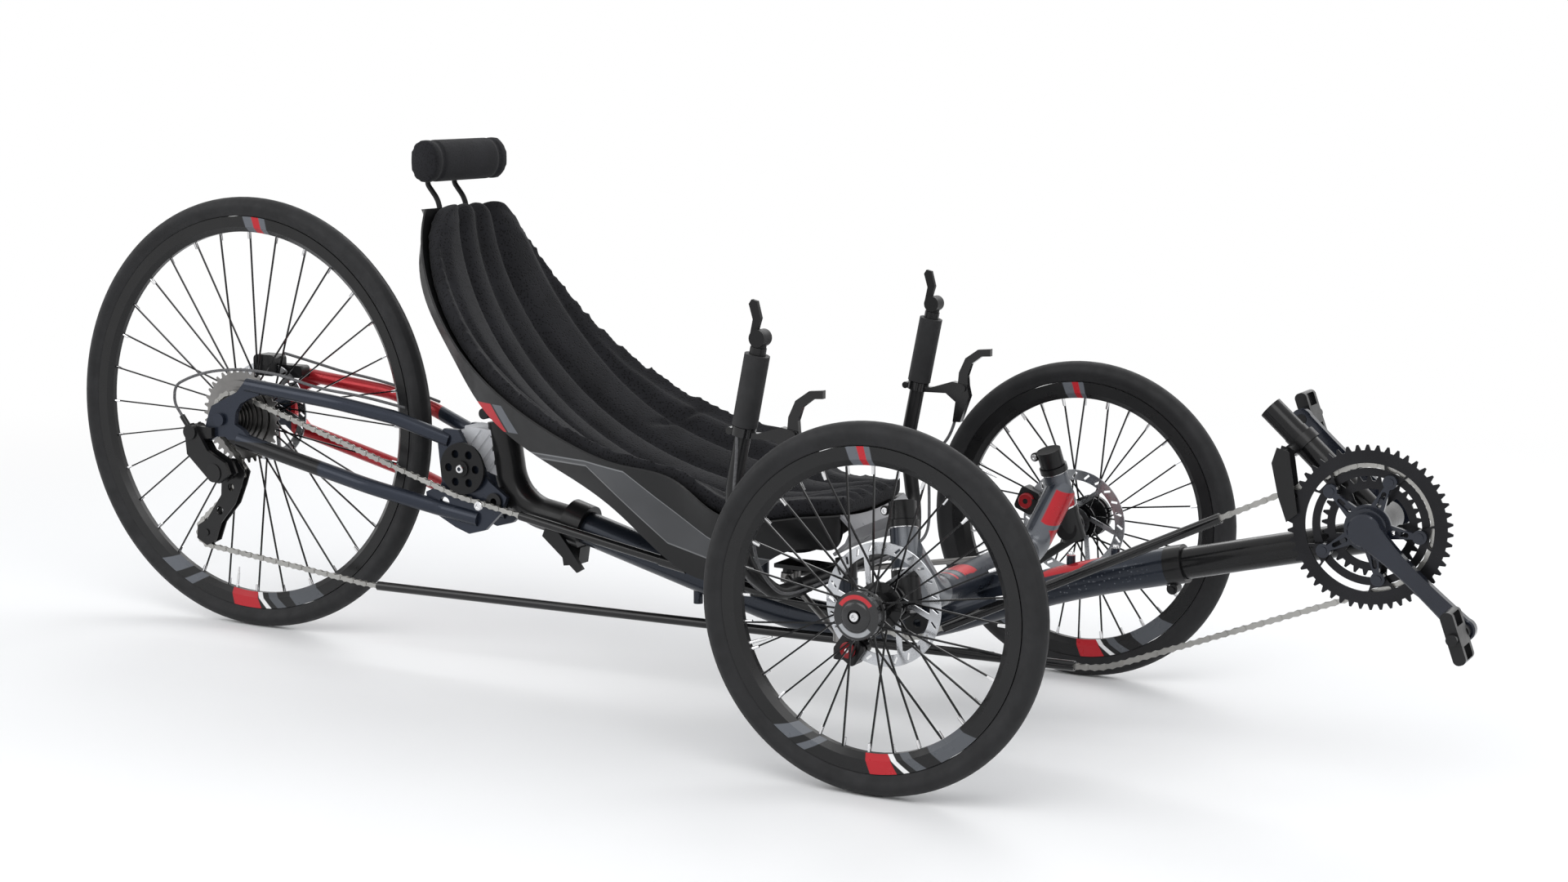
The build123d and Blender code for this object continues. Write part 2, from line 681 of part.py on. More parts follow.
# Boom with bottom bracket shell and derailleur post
BOOM_SLOPE = (COLLAR_Z - RISE_Z) / (COLLAR_X - RISE_X)
POST_RUN = Vector(POST_LEAN[0], 0, POST_LEAN[1])
POST_WAY = POST_RUN.normalized()
POST_PIN = 45
POST_FOOT = Vector(BB_X, 0, BB_Z)
CUP = 19
with BuildPart() as boom:
    boom_end_x = BB_X - 8
    boom_end = (boom_end_x, 0, COLLAR_Z + BOOM_SLOPE * (boom_end_x - COLLAR_X))
    add(rod((COLLAR_X + GAP, 0, COLLAR_Z), boom_end, BOOM_TUBE))
    add(rod((BB_X, -BB_SHELL_W / 2, BB_Z), (BB_X, BB_SHELL_W / 2, BB_Z), BB_SHELL_D))
    add(rod(POST_FOOT, POST_FOOT + POST_RUN, POST_D))
    add(rod(POST_FOOT, POST_FOOT + POST_RUN - POST_WAY * POST_PIN, POST_D + 1.6))
    add(rod((BB_X, -BB_SHELL_W / 2 - 3, BB_Z), (BB_X, BB_SHELL_W / 2 + 3, BB_Z), 2 * CUP))
    add(rod((BB_X, -CRANK_Y, BB_Z), (BB_X, CRANK_Y, BB_Z), SPINDLE + 2 * RUNNING), mode=Mode.SUBTRACT)
save(boom.part, "boom")

# Collar that grips the boom in the main tube, with a lug and bolt underneath
along = Vector(1, 0, BOOM_SLOPE).normalized()
with BuildPart() as collar:
    start = Vector(*COLLAR) + along * 0.6
    add(rod(start, start + along * 24, MAIN_TUBE + 2))
    add(rod(start + Vector(8, -9, -29), start + Vector(8, 9, -29), 15))
    add(rod(start + Vector(8, -12, -30), start + Vector(8, 12, -30), 8))
    add(rod(start - along * 30, start + along * 40, BOOM_TUBE + 2 * GAP), mode=Mode.SUBTRACT)
    back = Vector(*COLLAR) - along * 30
    add(rod(back, Vector(*COLLAR) + along * 0.6, MAIN_TUBE + 2), mode=Mode.SUBTRACT)
save(collar.part, "boom_collar")

# Rear riser: the curved beam from the fold clamp to the back of the seat
RISER_END = (CLAMP_X - 10, 0, CLAMP_Z + 2)
RISER_BEND = (PIVOT_X + 10, 0, PIVOT_Z - 11)
RISER_TOP = (PIVOT_X - 11, 0, PIVOT_Z + 118)
RISER_TURN = 78
KNOB = (PIVOT_X - 38, PIVOT_Z + 127)
with BuildPart() as riser:
    riser_line = (RISER_END, RISER_BEND, RISER_TOP)
    add(tube(riser_line, RISER_TURN, RISER_TUBE))
    add(rod(RISER_TOP, (RISER_TOP[0] + 20, 0, RISER_TOP[2] + 120), 36))
    add(rod(RISER_TOP, (KNOB[0], 0, KNOB[1]), 14))
    add(rod((KNOB[0], -14, KNOB[1]), (KNOB[0], 14, KNOB[1]), 17))
    add(rod((PIVOT_X, -YOKE_Y + 2, PIVOT_Z), (PIVOT_X, YOKE_Y - 2, PIVOT_Z), PIVOT_D + 8))
    axle_out = YOKE_Y + YOKE_THICK
    add(rod((PIVOT_X, -axle_out - 3, PIVOT_Z), (PIVOT_X, axle_out + 3, PIVOT_Z), PIVOT_D - 10))
    for out in (-1, 1):
        start = (PIVOT_X, out * (axle_out + GAP), PIVOT_Z)
        add(rod(start, (PIVOT_X, out * (axle_out + 3.5), PIVOT_Z), PIVOT_D - 4))
    add(rod((PIVOT_X, -60, PIVOT_Z), (PIVOT_X, 60, PIVOT_Z), 11), mode=Mode.SUBTRACT)
    add(seat_space.part, mode=Mode.SUBTRACT)
save(riser.part, "rear_riser")

# Fold clamp: a ring over both tube ends, its housing below and the lever beside it
with BuildPart() as clamp:
    with BuildSketch(Plane(origin=(CLAMP_X - 15, 0, CLAMP_Z + 5), z_dir=(1, 0, -0.27))):
        Circle(34)
    extrude(amount=32)
    housing = ((-26, -28), (10, -32), (6, -58), (-20, -62))
    add(plate([(CLAMP_X + x, CLAMP_Z + z) for x, z in housing], 14, 28))
    lever = ((-40, -4), (-45, -16), (-8, -46), (16, -66), (26, -60), (6, -34), (-18, -6))
    add(plate([(CLAMP_X + x, CLAMP_Z + z) for x, z in lever], -27, 7))
    main_way = (Vector(*LOW) - Vector(*MAIN_END)).normalized()
    riser_way = (Vector(*RISER_BEND) - Vector(*RISER_END)).normalized()
    for end, way, bore in ((MAIN_END, main_way, MAIN_TUBE), (RISER_END, riser_way, RISER_TUBE)):
        add(rod(Vector(*end) - way, Vector(*end) + way * 40, bore + 2 * GAP), mode=Mode.SUBTRACT)
save(clamp.part, "fold_clamp")


# Swingarm: yoke plates on the pivot, stays and open dropouts
def from_axle(points):
    return [(REAR_X + x, REAR_AXLE_Z + z) for x, z in points]


def from_pivot(points):
    return [(PIVOT_X + x, PIVOT_Z + z) for x, z in points]


YOKE = (
    (22, 8), (12, -16), (-18, -46), (-47, -54), (-72, -46), (-122, -22), (-126, 4),
    (-96, 18), (-104, 88), (-92, 104), (-66, 104), (-54, 84), (-26, 60), (-14, 32),
)
DROPOUT_LINE = (
    (70, 66), (52, 66), (34, 46), (-18, 20), (-26, 2), (-34, -21), (-22, -36), (-8, -28),
    (8, -27), (25, -40), (44, -42), (60, -30), (44, -14), (28, -6), (30, 12), (40, 27),
    (58, 37), (78, 44),
)
NODE = (PIVOT_X - 84, PIVOT_Z + 86)
with BuildPart() as swingarm:
    for out in (-1, 1):
        lower = (
            (PIVOT_X - 30, out * (YOKE_Y + 4), PIVOT_Z - 30),
            (PIVOT_X - 100, out * (YOKE_Y + 5), PIVOT_Z - 20),
            (REAR_X + 280, out * 64, REAR_AXLE_Z - 85),
            (REAR_X + 34, out * STAY_Y, REAR_AXLE_Z - 30),
        )
        add(tube(lower, (120, 260), 24))
        upper = (
            (NODE[0], out * (YOKE_Y + 3), NODE[1]),
            (REAR_X + 318, out * 52, REAR_AXLE_Z + 24),
            (REAR_X + 220, out * 70, REAR_AXLE_Z + 42),
            (REAR_X + 52, out * STAY_Y, REAR_AXLE_Z + 58),
        )
        add(tube(upper, (160, 200), 22))
        add(plate(from_axle(DROPOUT_LINE), out * STAY_Y + DROPOUT / 2, DROPOUT))
        yoke_y = YOKE_Y + YOKE_THICK if out > 0 else -YOKE_Y
        light = ((PIVOT_X - 36, PIVOT_Z - 34, 6), (PIVOT_X - 92, PIVOT_Z - 10, 9))
        add(plate(from_pivot(YOKE), yoke_y, YOKE_THICK, light))
    add(rod((NODE[0], -YOKE_Y, NODE[1]), (NODE[0], YOKE_Y, NODE[1]), 26))
    add(rod((PIVOT_X - 62, -YOKE_Y, PIVOT_Z - 36), (PIVOT_X - 62, YOKE_Y, PIVOT_Z - 36), 16))
    add(rod((PIVOT_X, -60, PIVOT_Z), (PIVOT_X, 60, PIVOT_Z), PIVOT_D - 10 + 2 * GAP), mode=Mode.SUBTRACT)
    idler_end = (REAR_IDLER_X, CHAIN_Y - 8, REAR_IDLER_Z)
    add(rod((REAR_IDLER_X, -YOKE_Y - 2, REAR_IDLER_Z), idler_end, 10))
    link = from_pivot(((-8, 8), (-40, 30), (-66, 34), (-70, 60), (-50, 66), (-30, 50), (0, 20)))
    add(plate(link, -YOKE_Y, YOKE_THICK))
    add(rod((PIVOT_X, -60, PIVOT_Z), (PIVOT_X, 60, PIVOT_Z), PIVOT_D - 10 + 2 * GAP), mode=Mode.SUBTRACT)
    axle_end = STAY_Y + DROPOUT / 2 + 2
    add(rod((REAR_X, -axle_end, REAR_AXLE_Z), (REAR_X, axle_end, REAR_AXLE_Z), REAR_AXLE_D))
    for out in (-1, 1):
        nut = (REAR_X, out * (STAY_Y + DROPOUT / 2 + 1), REAR_AXLE_Z)
        add(rod(nut, (REAR_X, out * (STAY_Y + DROPOUT / 2 + 6), REAR_AXLE_Z), 20))
save(swingarm.part, "swingarm")

# Suspension block of ribbed rubber between the yoke's node and the riser
BLOCK = ((-66, 108), (-8, 104), (6, 60), (-8, 36), (-46, 46), (-74, 66))
RIBS = 4
with BuildPart() as shock:
    add(plate(from_pivot(BLOCK), 22, 44))
    for index in range(RIBS):
        share = (index + 0.5) / RIBS
        low_rib = Vector(PIVOT_X - 78 + 60 * share, 0, PIVOT_Z + 62 - 26 * share)
        high_rib = low_rib + Vector(36, 0, 44)
        for out in (-1, 1):
            side_by = Vector(0, out * 23, 0)
            add(rod(low_rib + side_by, high_rib + side_by, 6), mode=Mode.SUBTRACT)
    add(rod((NODE[0], -30, NODE[1]), (NODE[0], 30, NODE[1]), 26 + 2 * GAP), mode=Mode.SUBTRACT)
    add(tube(riser_line, RISER_TURN, RISER_TUBE + 2 * GAP), mode=Mode.SUBTRACT)
    add(rod(RISER_TOP, (RISER_TOP[0] + 20, 0, RISER_TOP[2] + 120), 36 + 2 * GAP), mode=Mode.SUBTRACT)
    add(rod((PIVOT_X, -60, PIVOT_Z), (PIVOT_X, 60, PIVOT_Z), PIVOT_D + 8 + 2 * GAP), mode=Mode.SUBTRACT)
save(shock.part, "shock")

# Idlers: a disc with six holes on a wider boss
with BuildPart() as idlers:
    for x, z, radius in (
        (REAR_IDLER_X, REAR_IDLER_Z, REAR_IDLER_R),
        (FRONT_IDLER_X, FRONT_IDLER_Z, FRONT_IDLER_R),
    ):
        floor = under_chain(radius)
        with BuildSketch(across(x, CHAIN_Y - 2, z)):
            Circle(floor)
            with PolarLocations(floor * 0.62, 6):
                Circle(floor * 0.16, mode=Mode.SUBTRACT)
            Circle(5 + RUNNING, mode=Mode.SUBTRACT)
        extrude(amount=4)
        with BuildSketch(across(x, CHAIN_Y - 5, z)):
            Circle(12)
            Circle(5 + RUNNING, mode=Mode.SUBTRACT)
        extrude(amount=10)
save(idlers.part, "idlers")

# The chain's route in the side view, as round guides: (x, z, pitch radius, turn).
# A turn of 1 runs anticlockwise round its guide, seen from the right side.
RETURN_BACK = (REAR_X + 275, LOW_Z + 2 + 300, 300, 1)
RETURN_FRONT = (160, LOW_Z + 17 + 150, 150, 1)
ROUTE = (
    (BB_X, BB_Z, pitch_radius(MIDDLE_RING), 1),
    (FRONT_IDLER_X, FRONT_IDLER_Z, FRONT_IDLER_R, -1),
    (REAR_IDLER_X, REAR_IDLER_Z, REAR_IDLER_R, -1),
    (REAR_X, REAR_AXLE_Z, pitch_radius(SPROCKETS[CHAIN_SPROCKET]), 1),
    (UPPER_JOCKEY[0], UPPER_JOCKEY[1], JOCKEY_R, -1),
    (LOWER_JOCKEY[0], LOWER_JOCKEY[1], JOCKEY_R, 1),
    RETURN_BACK,
    RETURN_FRONT,
)


def tangent(first, second):
    """The straight run from one wheel to the next, as its two end points."""
    x1, z1, r1, turn1 = first
    x2, z2, r2, turn2 = second
    dx, dz = x2 - x1, z2 - z1
    lean = asin((turn1 * r1 - turn2 * r2) / hypot(dx, dz))
    angle = atan2(dz, dx) + lean
    normal = (sin(angle), -cos(angle))
    start = (x1 + turn1 * r1 * normal[0], z1 + turn1 * r1 * normal[1])
    end = (x2 + turn2 * r2 * normal[0], z2 + turn2 * r2 * normal[1])
    return start, end


def chain_line():
    """Points along the whole route, on the wheels' arcs and at the runs' ends."""
    runs = [tangent(ROUTE[i], ROUTE[(i + 1) % len(ROUTE)]) for i in range(len(ROUTE))]
    points = []
    for index, (x, z, radius, turn) in enumerate(ROUTE):
        arrive = runs[index - 1][1]
        leave = runs[index][0]
        a0 = atan2(arrive[1] - z, arrive[0] - x)
        a1 = atan2(leave[1] - z, leave[0] - x)
        sweep_angle = (a1 - a0) * turn % (2 * pi)
        steps = ceil(sweep_angle * radius / CHAIN_PITCH)
        for step in range(steps + 1):
            angle = a0 + turn * sweep_angle * step / steps
            points.append((x + radius * cos(angle), z + radius * sin(angle)))
        start, end = runs[index]
        length = hypot(end[0] - start[0], end[1] - start[1])
        count = max(1, round(length / (2 * CHAIN_PITCH)))
        for step in range(1, count):
            share = step / count
            points.append((start[0] + (end[0] - start[0]) * share, start[1] + (end[1] - start[1]) * share))
    return points


def offset_loop(points, distance):
    """The loop moved sideways by distance."""
    moved = []
    count = len(points)
    for index in range(count):
        before, here, after = points[index - 1], points[index], points[(index + 1) % count]
        run = Vector(after[0] - before[0], after[1] - before[1]).normalized()
        moved.append((here[0] + run.Y * distance, here[1] - run.X * distance))
    return moved


with BuildPart() as chain:
    line = chain_line()
    with BuildSketch(side(CHAIN_Y + CHAIN_WIDTH / 2)):
        Polygon(*offset_loop(line, CHAIN_HEIGHT / 2), align=None)
        Polygon(*offset_loop(line, -CHAIN_HEIGHT / 2), align=None, mode=Mode.SUBTRACT)
    extrude(amount=CHAIN_WIDTH)
save(chain.part, "chain")

# Chain tubes along the straight runs, as (run, start x, end x), and their sleeves
POWER_FRONT = tangent(ROUTE[0], ROUTE[1])
POWER_REAR = tangent(ROUTE[1], ROUTE[2])
RETURN_RUN = tangent(RETURN_BACK, RETURN_FRONT)
TUBES = (
    (POWER_FRONT, 346, FRONT_IDLER_X + 52),
    (POWER_REAR, FRONT_IDLER_X - 68, REAR_IDLER_X + 104),
    (RETURN_RUN, REAR_X + 280, 152),
)
SLEEVE = 44


def point_on(run, x):
    (x1, z1), (x2, z2) = run
    return Vector(x, CHAIN_Y, z1 + (z2 - z1) * (x - x1) / (x2 - x1))


with BuildPart() as chain_tubes:
    for run, first, last in TUBES:
        add(rod(point_on(run, first), point_on(run, last), TUBE_D))
    middle = (TUBES[1][1] + TUBES[1][2]) / 2
    add(rod(point_on(POWER_REAR, middle), point_on(POWER_REAR, middle - SLEEVE), TUBE_D + 3))
    for run, first, last in TUBES:
        way = 16 if last > first else -16
        start, end = point_on(run, first - way), point_on(run, last + way)
        with BuildSketch(Plane(origin=start, x_dir=(0, 1, 0), z_dir=end - start)):
            Rectangle(CHAIN_WIDTH + 2 * GAP, CHAIN_HEIGHT + 2.4)
        extrude(amount=(end - start).length, mode=Mode.SUBTRACT)
save(chain_tubes.part, "chain_tubes")

# Rear derailleur: hanger link, knuckles, parallelogram plates and cage
CAGE_OUT = CHAIN_Y - CHAIN_WIDTH / 2 - 2.5
CAGE_IN = CHAIN_Y + CHAIN_WIDTH / 2 + 4
HANGER_Y = -STAY_Y - DROPOUT / 2 - GAP
CAGE = (
    (14, -70), (27, -86), (20, -106), (6, -138), (-24, -172), (-36, -202), (-54, -211),
    (-74, -201), (-72, -180), (-52, -168), (-22, -126), (-20, -92), (-14, -72),
)
ARMS = ((-62, -18), (-48, -8), (-38, -18), (-16, -50), (18, -66), (26, -84), (6, -100), (-12, -98), (-58, -58))
CAGE_HOLES = ((REAR_X - 2, REAR_AXLE_Z - 112, 6), (REAR_X - 26, REAR_AXLE_Z - 152, 7))
B_KNUCKLE = (REAR_X - 50, REAR_AXLE_Z - 22)
with BuildPart() as derailleur:
    add(plate(from_axle(CAGE), CAGE_OUT, 2.5, CAGE_HOLES))
    add(plate(from_axle(CAGE), CAGE_IN, 2.5, CAGE_HOLES))
    for x, z in (UPPER_JOCKEY, LOWER_JOCKEY):
        add(rod((x, CAGE_IN - 1, z), (x, CAGE_OUT - 1, z), 8))
        add(rod((x, CAGE_OUT - 2, z), (x, CAGE_OUT - 4.5, z), 11))
    x, z = UPPER_JOCKEY
    add(rod((x, CAGE_OUT - 1, z), (x - 2, -94, z), 30))
    add(plate(from_axle(ARMS), -86, 7))
    add(plate(from_axle(ARMS), -70, 5))
    x, z = B_KNUCKLE
    add(rod((x, -66, z), (x, -96, z), 24))
    link = ((-12, -14), (-12, -30), (-24, -32), (-52, -30), (-54, -12))
    add(plate(from_axle(link), HANGER_Y, 8))
    add(rod((x, -89, z), (x - 19, -89, z + 24), 9))
save(derailleur.part, "rear_derailleur")

with BuildPart() as jockeys:
    for x, z in (UPPER_JOCKEY, LOWER_JOCKEY):
        with BuildSketch(across(x, CHAIN_Y - 2, z)):
            Circle(under_chain(JOCKEY_R))
            Circle(4 + RUNNING, mode=Mode.SUBTRACT)
        extrude(amount=4)
save(jockeys.part, "jockey_wheels")

# Front derailleur: a band on the post and a two-plate cage over the chain
BAND_AT = POST_RUN.length - POST_PIN - 16
FRONT_CAGE = ((-120, 92), (-104, 88), (-97, 48), (-90, 10), (-104, -2), (-116, 30), (-126, 72))
with BuildPart() as front_derailleur:
    band = POST_FOOT + POST_WAY * BAND_AT
    add(rod(band - POST_WAY * 7, band + POST_WAY * 7, POST_D + 9))
    add(rod(band + Vector(-6, -12, -6), Vector(BB_X - 112, CHAIN_Y + 6, BB_Z + 84), 15))
    cage_line = [(BB_X + x, BB_Z + z) for x, z in FRONT_CAGE]
    add(plate(cage_line, CHAIN_Y + 8, 2))
    add(plate(cage_line, BIG_RING_Y - 6, 2))
    add(rod((BB_X - 113, CHAIN_Y + 7, BB_Z + 86), (BB_X - 113, BIG_RING_Y - 7, BB_Z + 86), 7))
    add(rod(band - POST_WAY * 12, band + POST_WAY * 12, POST_D + 1.6 + 2 * GAP), mode=Mode.SUBTRACT)
save(front_derailleur.part, "front_derailleur")


# Steered knuckles: steerer, crown, stub axle, steering arm and top clamp
def arm_ball(out):
    """The middle of the joint between the steering arm and the tie rod."""
    beside, _ = kingpin(out, ROD_Z)
    return beside + Vector(-ARM_BACK, out * ARM_OUT, 0)


STUB_D = 30
PIN_D = 8
OPEN_EYE = PIN_D / 2 + 2.2
EYE_D = 2 * OPEN_EYE + 7
CALIPERS = (("right", -1, -44, -62), ("left", 1, -73, 30))
for name, out, caliper_x, caliper_z in CALIPERS:
    middle, up = kingpin(out, KINGPIN_Z)
    foot, _ = kingpin(out, FRONT_AXLE_Z)
    low = middle - up * (HEAD_TUBE / 2 + GAP)
    high = middle + up * (HEAD_TUBE / 2 + GAP)
    ball = arm_ball(out)
    arm_end = ball - Vector(0, 0, 21)
    with BuildPart() as knuckle:
        add(rod(low - up * 30, high + up * 26, STEERER_D))
        add(rod(low, low - up * 10, HEAD_TUBE_D + 2))
        add(rod(foot - up * 16, low - up * 8, 36))
        add(rod(high, high + up * 9, HEAD_TUBE_D + 5))
        add(rod(high + up * 10, high + up * 34, HEAD_TUBE_D))
        lug = high + up * 22 + Vector(-21, 0, 0)
        add(rod(lug - Vector(0, 9, 0), lug + Vector(0, 9, 0), 13))
        add(rod((foot.X, foot.Y - out * 18, FRONT_AXLE_Z), (0, foot.Y + out * 26, FRONT_AXLE_Z), STUB_D))
        add(rod((0, foot.Y, FRONT_AXLE_Z), (0, out * (HUB_END - 2), FRONT_AXLE_Z), AXLE_D))
        add(rod(foot - up * 16, arm_end, 12))
        add(rod(arm_end - Vector(0, 0, 7), arm_end + Vector(0, 0, 5), 18))
        add(rod(arm_end, ball + Vector(0, 0, 9), PIN_D))
    save(knuckle.part, f"knuckle_{name}")

    # Its disc brake caliper, on a bracket round the stub
    edge = Vector(caliper_x, 0, caliper_z).normalized()
    heart = Vector(0, 0, FRONT_AXLE_Z) + edge * (DISC_R - 4)
    disc_y = TRACK / 2 - FRONT_DISC_IN
    bracket_y = foot.Y + out * 23
    with BuildPart() as caliper:
        with BuildSketch(Plane(origin=heart + Vector(0, out * (disc_y - 14), 0), x_dir=edge, z_dir=(0, out, 0))):
            RectangleRounded(32, 36, 6)
        extrude(amount=22)
        with BuildSketch(Plane(origin=(0, bracket_y, FRONT_AXLE_Z), x_dir=edge, z_dir=(0, out, 0))):
            Circle(STUB_D / 2 + 8)
            with Locations((DISC_R / 2, 0)):
                Rectangle(DISC_R, 16)
        extrude(amount=5)
        with BuildSketch(Plane(origin=heart + Vector(0, bracket_y, 0), x_dir=edge, z_dir=(0, out, 0))):
            Circle(8)
        extrude(amount=disc_y - 13 - abs(bracket_y))
        add(rod(heart + Vector(0, out * (disc_y + 7), 0), heart + Vector(0, out * (disc_y + 10), 0), 18))
        stub_way = Vector(-foot.X, out * 44, 0)
        stub_from = Vector(foot.X, foot.Y - out * 18, FRONT_AXLE_Z)
        add(rod(stub_from, stub_from + stub_way * 1.2, STUB_D + 2 * GAP), mode=Mode.SUBTRACT)
        add(rod(foot - up * 16, arm_end, 12 + 2 * GAP), mode=Mode.SUBTRACT)
        add(rod(arm_end - Vector(0, 0, 8), arm_end + Vector(0, 0, 8), 18 + 2 * GAP), mode=Mode.SUBTRACT)
        add(rod(ball - Vector(0, 0, 14), ball + Vector(0, 0, 14), EYE_D + 9), mode=Mode.SUBTRACT)
        slot = Vector(0, out * (disc_y - 2.5), FRONT_AXLE_Z)
        add(rod(slot, slot + Vector(0, out * 5, 0), 2 * DISC_R + 4), mode=Mode.SUBTRACT)
    save(caliper.part, f"caliper_{name}")

# Rear caliper over the top of the rear disc, against the left upper stay
with BuildPart() as rear_caliper:
    with BuildSketch(across(REAR_X + 2, REAR_DISC_Y - 6.5, REAR_AXLE_Z + DISC_R - 5)):
        RectangleRounded(44, 34, 8)
    extrude(amount=29)
    with BuildSketch(across(REAR_X + 40, REAR_DISC_Y + 8, REAR_AXLE_Z + 66)):
        RectangleRounded(52, 20, 6)
    extrude(amount=STAY_Y - 11 - GAP - REAR_DISC_Y - 8)
    knob = (REAR_X - 5, REAR_DISC_Y + 20, REAR_AXLE_Z + 68)
    add(rod(knob, (knob[0], knob[1] + 6, knob[2]), 18))
    slot = Vector(REAR_X, REAR_DISC_Y - 2.5, REAR_AXLE_Z)
    add(rod(slot, slot + Vector(0, 5, 0), 2 * DISC_R + 4), mode=Mode.SUBTRACT)
save(rear_caliper.part, "rear_caliper")

# Handlebar: a centre hub on its pivot, a plate for the tie rods and a bent tube
BAR_TOP = (BAR_X + 3.6, HANDLE_Z + 370)
BAR_LOW = (BAR_X - 35, HANDLE_Z + 168)
GRIP_BOTTOM_Z = HANDLE_Z + 265
GRIP_TOP_Z = HANDLE_Z + 360
PLATE_Z = BAR_Z - 5
TIE_BACK = 88
HINGE_LEAN = (0.0736, 0.0085)


def on_bar(out, z):
    """The point at height z on the straight upper part of the bar."""
    share = (z - BAR_LOW[1]) / (BAR_TOP[1] - BAR_LOW[1])
    return Vector(BAR_LOW[0] + (BAR_TOP[0] - BAR_LOW[0]) * share, out * BAR_WIDTH / 2, z)


def tie_hinge(out):
    """The tie rod's inner hinge: its middle, and its axis, which leans."""
    way = Vector(HINGE_LEAN[0], -out * HINGE_LEAN[1], 1).normalized()
    return Vector(BAR_X - TIE_BACK, out * ARM_OUT, ROD_Z), way


HALF_BAR = BAR_WIDTH / 2
RISE_Y = HALF_BAR - 8
BEND_Y = HALF_BAR - 55
FLAT_Y = HALF_BAR - 120
right_route = (
    (BAR_TOP[0], -HALF_BAR, BAR_TOP[1]),
    (BAR_LOW[0], -HALF_BAR, BAR_LOW[1]),
    (BAR_X - 17, -RISE_Y, HANDLE_Z + 72),
    (BAR_X + 4, -BEND_Y, BAR_Z + 4),
    (BAR_X, -FLAT_Y, BAR_Z),
)
with BuildPart() as handlebar:
    route = right_route + tuple((x, -y, z) for x, y, z in reversed(right_route))
    add(tube(route, (120, 60, 40, 90, 90, 40, 60, 120), BAR_TUBE))
    add(rod((BAR_X, 0, BAR_Z - 13.7), (BAR_X, 0, BAR_Z + 14), 32))
    with BuildSketch(Plane.XY.offset(PLATE_Z)):
        with BuildLine():
            Polyline((BAR_X, -18), (BAR_X - 60, -26), (BAR_X - 103, -24), (BAR_X - 103, 24), (BAR_X - 60, 26), (BAR_X, 18), close=True)
        make_face()
        with Locations((BAR_X - 34, 0), (BAR_X - 60, 0)):
            Circle(7, mode=Mode.SUBTRACT)
    extrude(amount=6)
    for out in (-1, 1):
        middle, way = tie_hinge(out)
        add(rod(middle + way * 18, middle + way * 7.5, 14))
        add(rod(middle + way * 18, middle - way * 9, PIN_D))
        grip_ring = (BAR_X, out * (FLAT_Y - 12), BAR_Z)
        add(rod(grip_ring, (BAR_X, out * (FLAT_Y + 2), BAR_Z), BAR_TUBE + 4))
        add(rod((BAR_X + 15, out * (FLAT_Y - 10), BAR_Z), (BAR_X + 15, out * FLAT_Y, BAR_Z), 11))
    add(rod((BAR_X, 0, BAR_Z - 40), (BAR_X, 0, BAR_Z + 40), 12 + 2 * RUNNING), mode=Mode.SUBTRACT)
save(handlebar.part, "handlebar")

# Tie rods: a ring on the bar's pin, and an open eye round the knuckle's pin
for name, out in (("right", -1), ("left", 1)):
    inner, way = tie_hinge(out)
    outer = arm_ball(out)
    with BuildPart() as tie_rod:
        add(rod(inner, outer, 9))
        add(rod(inner - way * 7, inner + way * 6, 18))
        add(rod(outer - Vector(0, 0, 5), outer + Vector(0, 0, 5), EYE_D))
        add(rod(inner - way * 12, inner + way * 12, PIN_D + 2 * RUNNING), mode=Mode.SUBTRACT)
        add(rod(outer - Vector(0, 0, 9), outer + Vector(0, 0, 9), 2 * OPEN_EYE), mode=Mode.SUBTRACT)
    save(tie_rod.part, f"tie_rod_{name}")

# Grips, bar-end shifters and brake levers
with BuildPart() as grips:
    for out in (-1, 1):
        bottom, top = on_bar(out, GRIP_BOTTOM_Z), on_bar(out, GRIP_TOP_Z)
        add(rod(bottom, top, GRIP_D))
        add(rod(bottom, top, BAR_TUBE + 2 * GAP), mode=Mode.SUBTRACT)
save(grips.part, "grips")

with BuildPart() as shifters:
    for out in (-1, 1):
        end = on_bar(out, BAR_TOP[1] + GAP)
        boss = on_bar(out, HANDLE_Z + 382)
        add(rod(end, boss, BAR_TUBE - 2))
        add(rod(boss - Vector(0, 11, 0), boss + Vector(0, 11, 0), 23))
        paddle = ((-4, 6), (2, 26), (-4, 48), (-12, 50), (-16, 44), (-10, 24), (-14, 4))
        add(plate([(boss.X + x, boss.Z + z) for x, z in paddle], end.Y + 3, 6))
save(shifters.part, "shifters")

# The lever's bracket and blade in the side view, measured from BAR_X and HANDLE_Z
BRACKET = (
    (-22, 249), (-22, 257), (6, 257), (40, 268), (64, 264), (68, 248), (54, 208), (42, 208), (46, 238), (30, 250),
)
BLADE = ((48, 258), (66, 254), (64, 278), (70, 296), (86, 308), (100, 309), (100, 320), (80, 318), (60, 304), (50, 282))
with BuildPart() as levers:
    for out in (-1, 1):
        clamp_low, clamp_high = on_bar(out, GRIP_BOTTOM_Z - 13), on_bar(out, GRIP_BOTTOM_Z - 1)
        add(rod(clamp_low, clamp_high, BAR_TUBE + 10))
        ear = on_bar(out, GRIP_BOTTOM_Z - 7) + Vector(-18, 0, 0)
        add(rod(ear - Vector(0, 8, 0), ear + Vector(0, 8, 0), 10))
        add(plate([(BAR_X + x, HANDLE_Z + z) for x, z in BRACKET], out * HALF_BAR + 6, 12))
        add(plate([(BAR_X + x, HANDLE_Z + z) for x, z in BLADE], out * HALF_BAR + 4, 8))
        pivot = Vector(BAR_X + 58, out * HALF_BAR, HANDLE_Z + 259)
        add(rod(pivot - Vector(0, 9, 0), pivot + Vector(0, 9, 0), 10))
        reach = (clamp_high - clamp_low) * 3
        add(rod(clamp_low - reach, clamp_high + reach, BAR_TUBE + 2 * GAP), mode=Mode.SUBTRACT)
save(levers.part, "brake_levers")


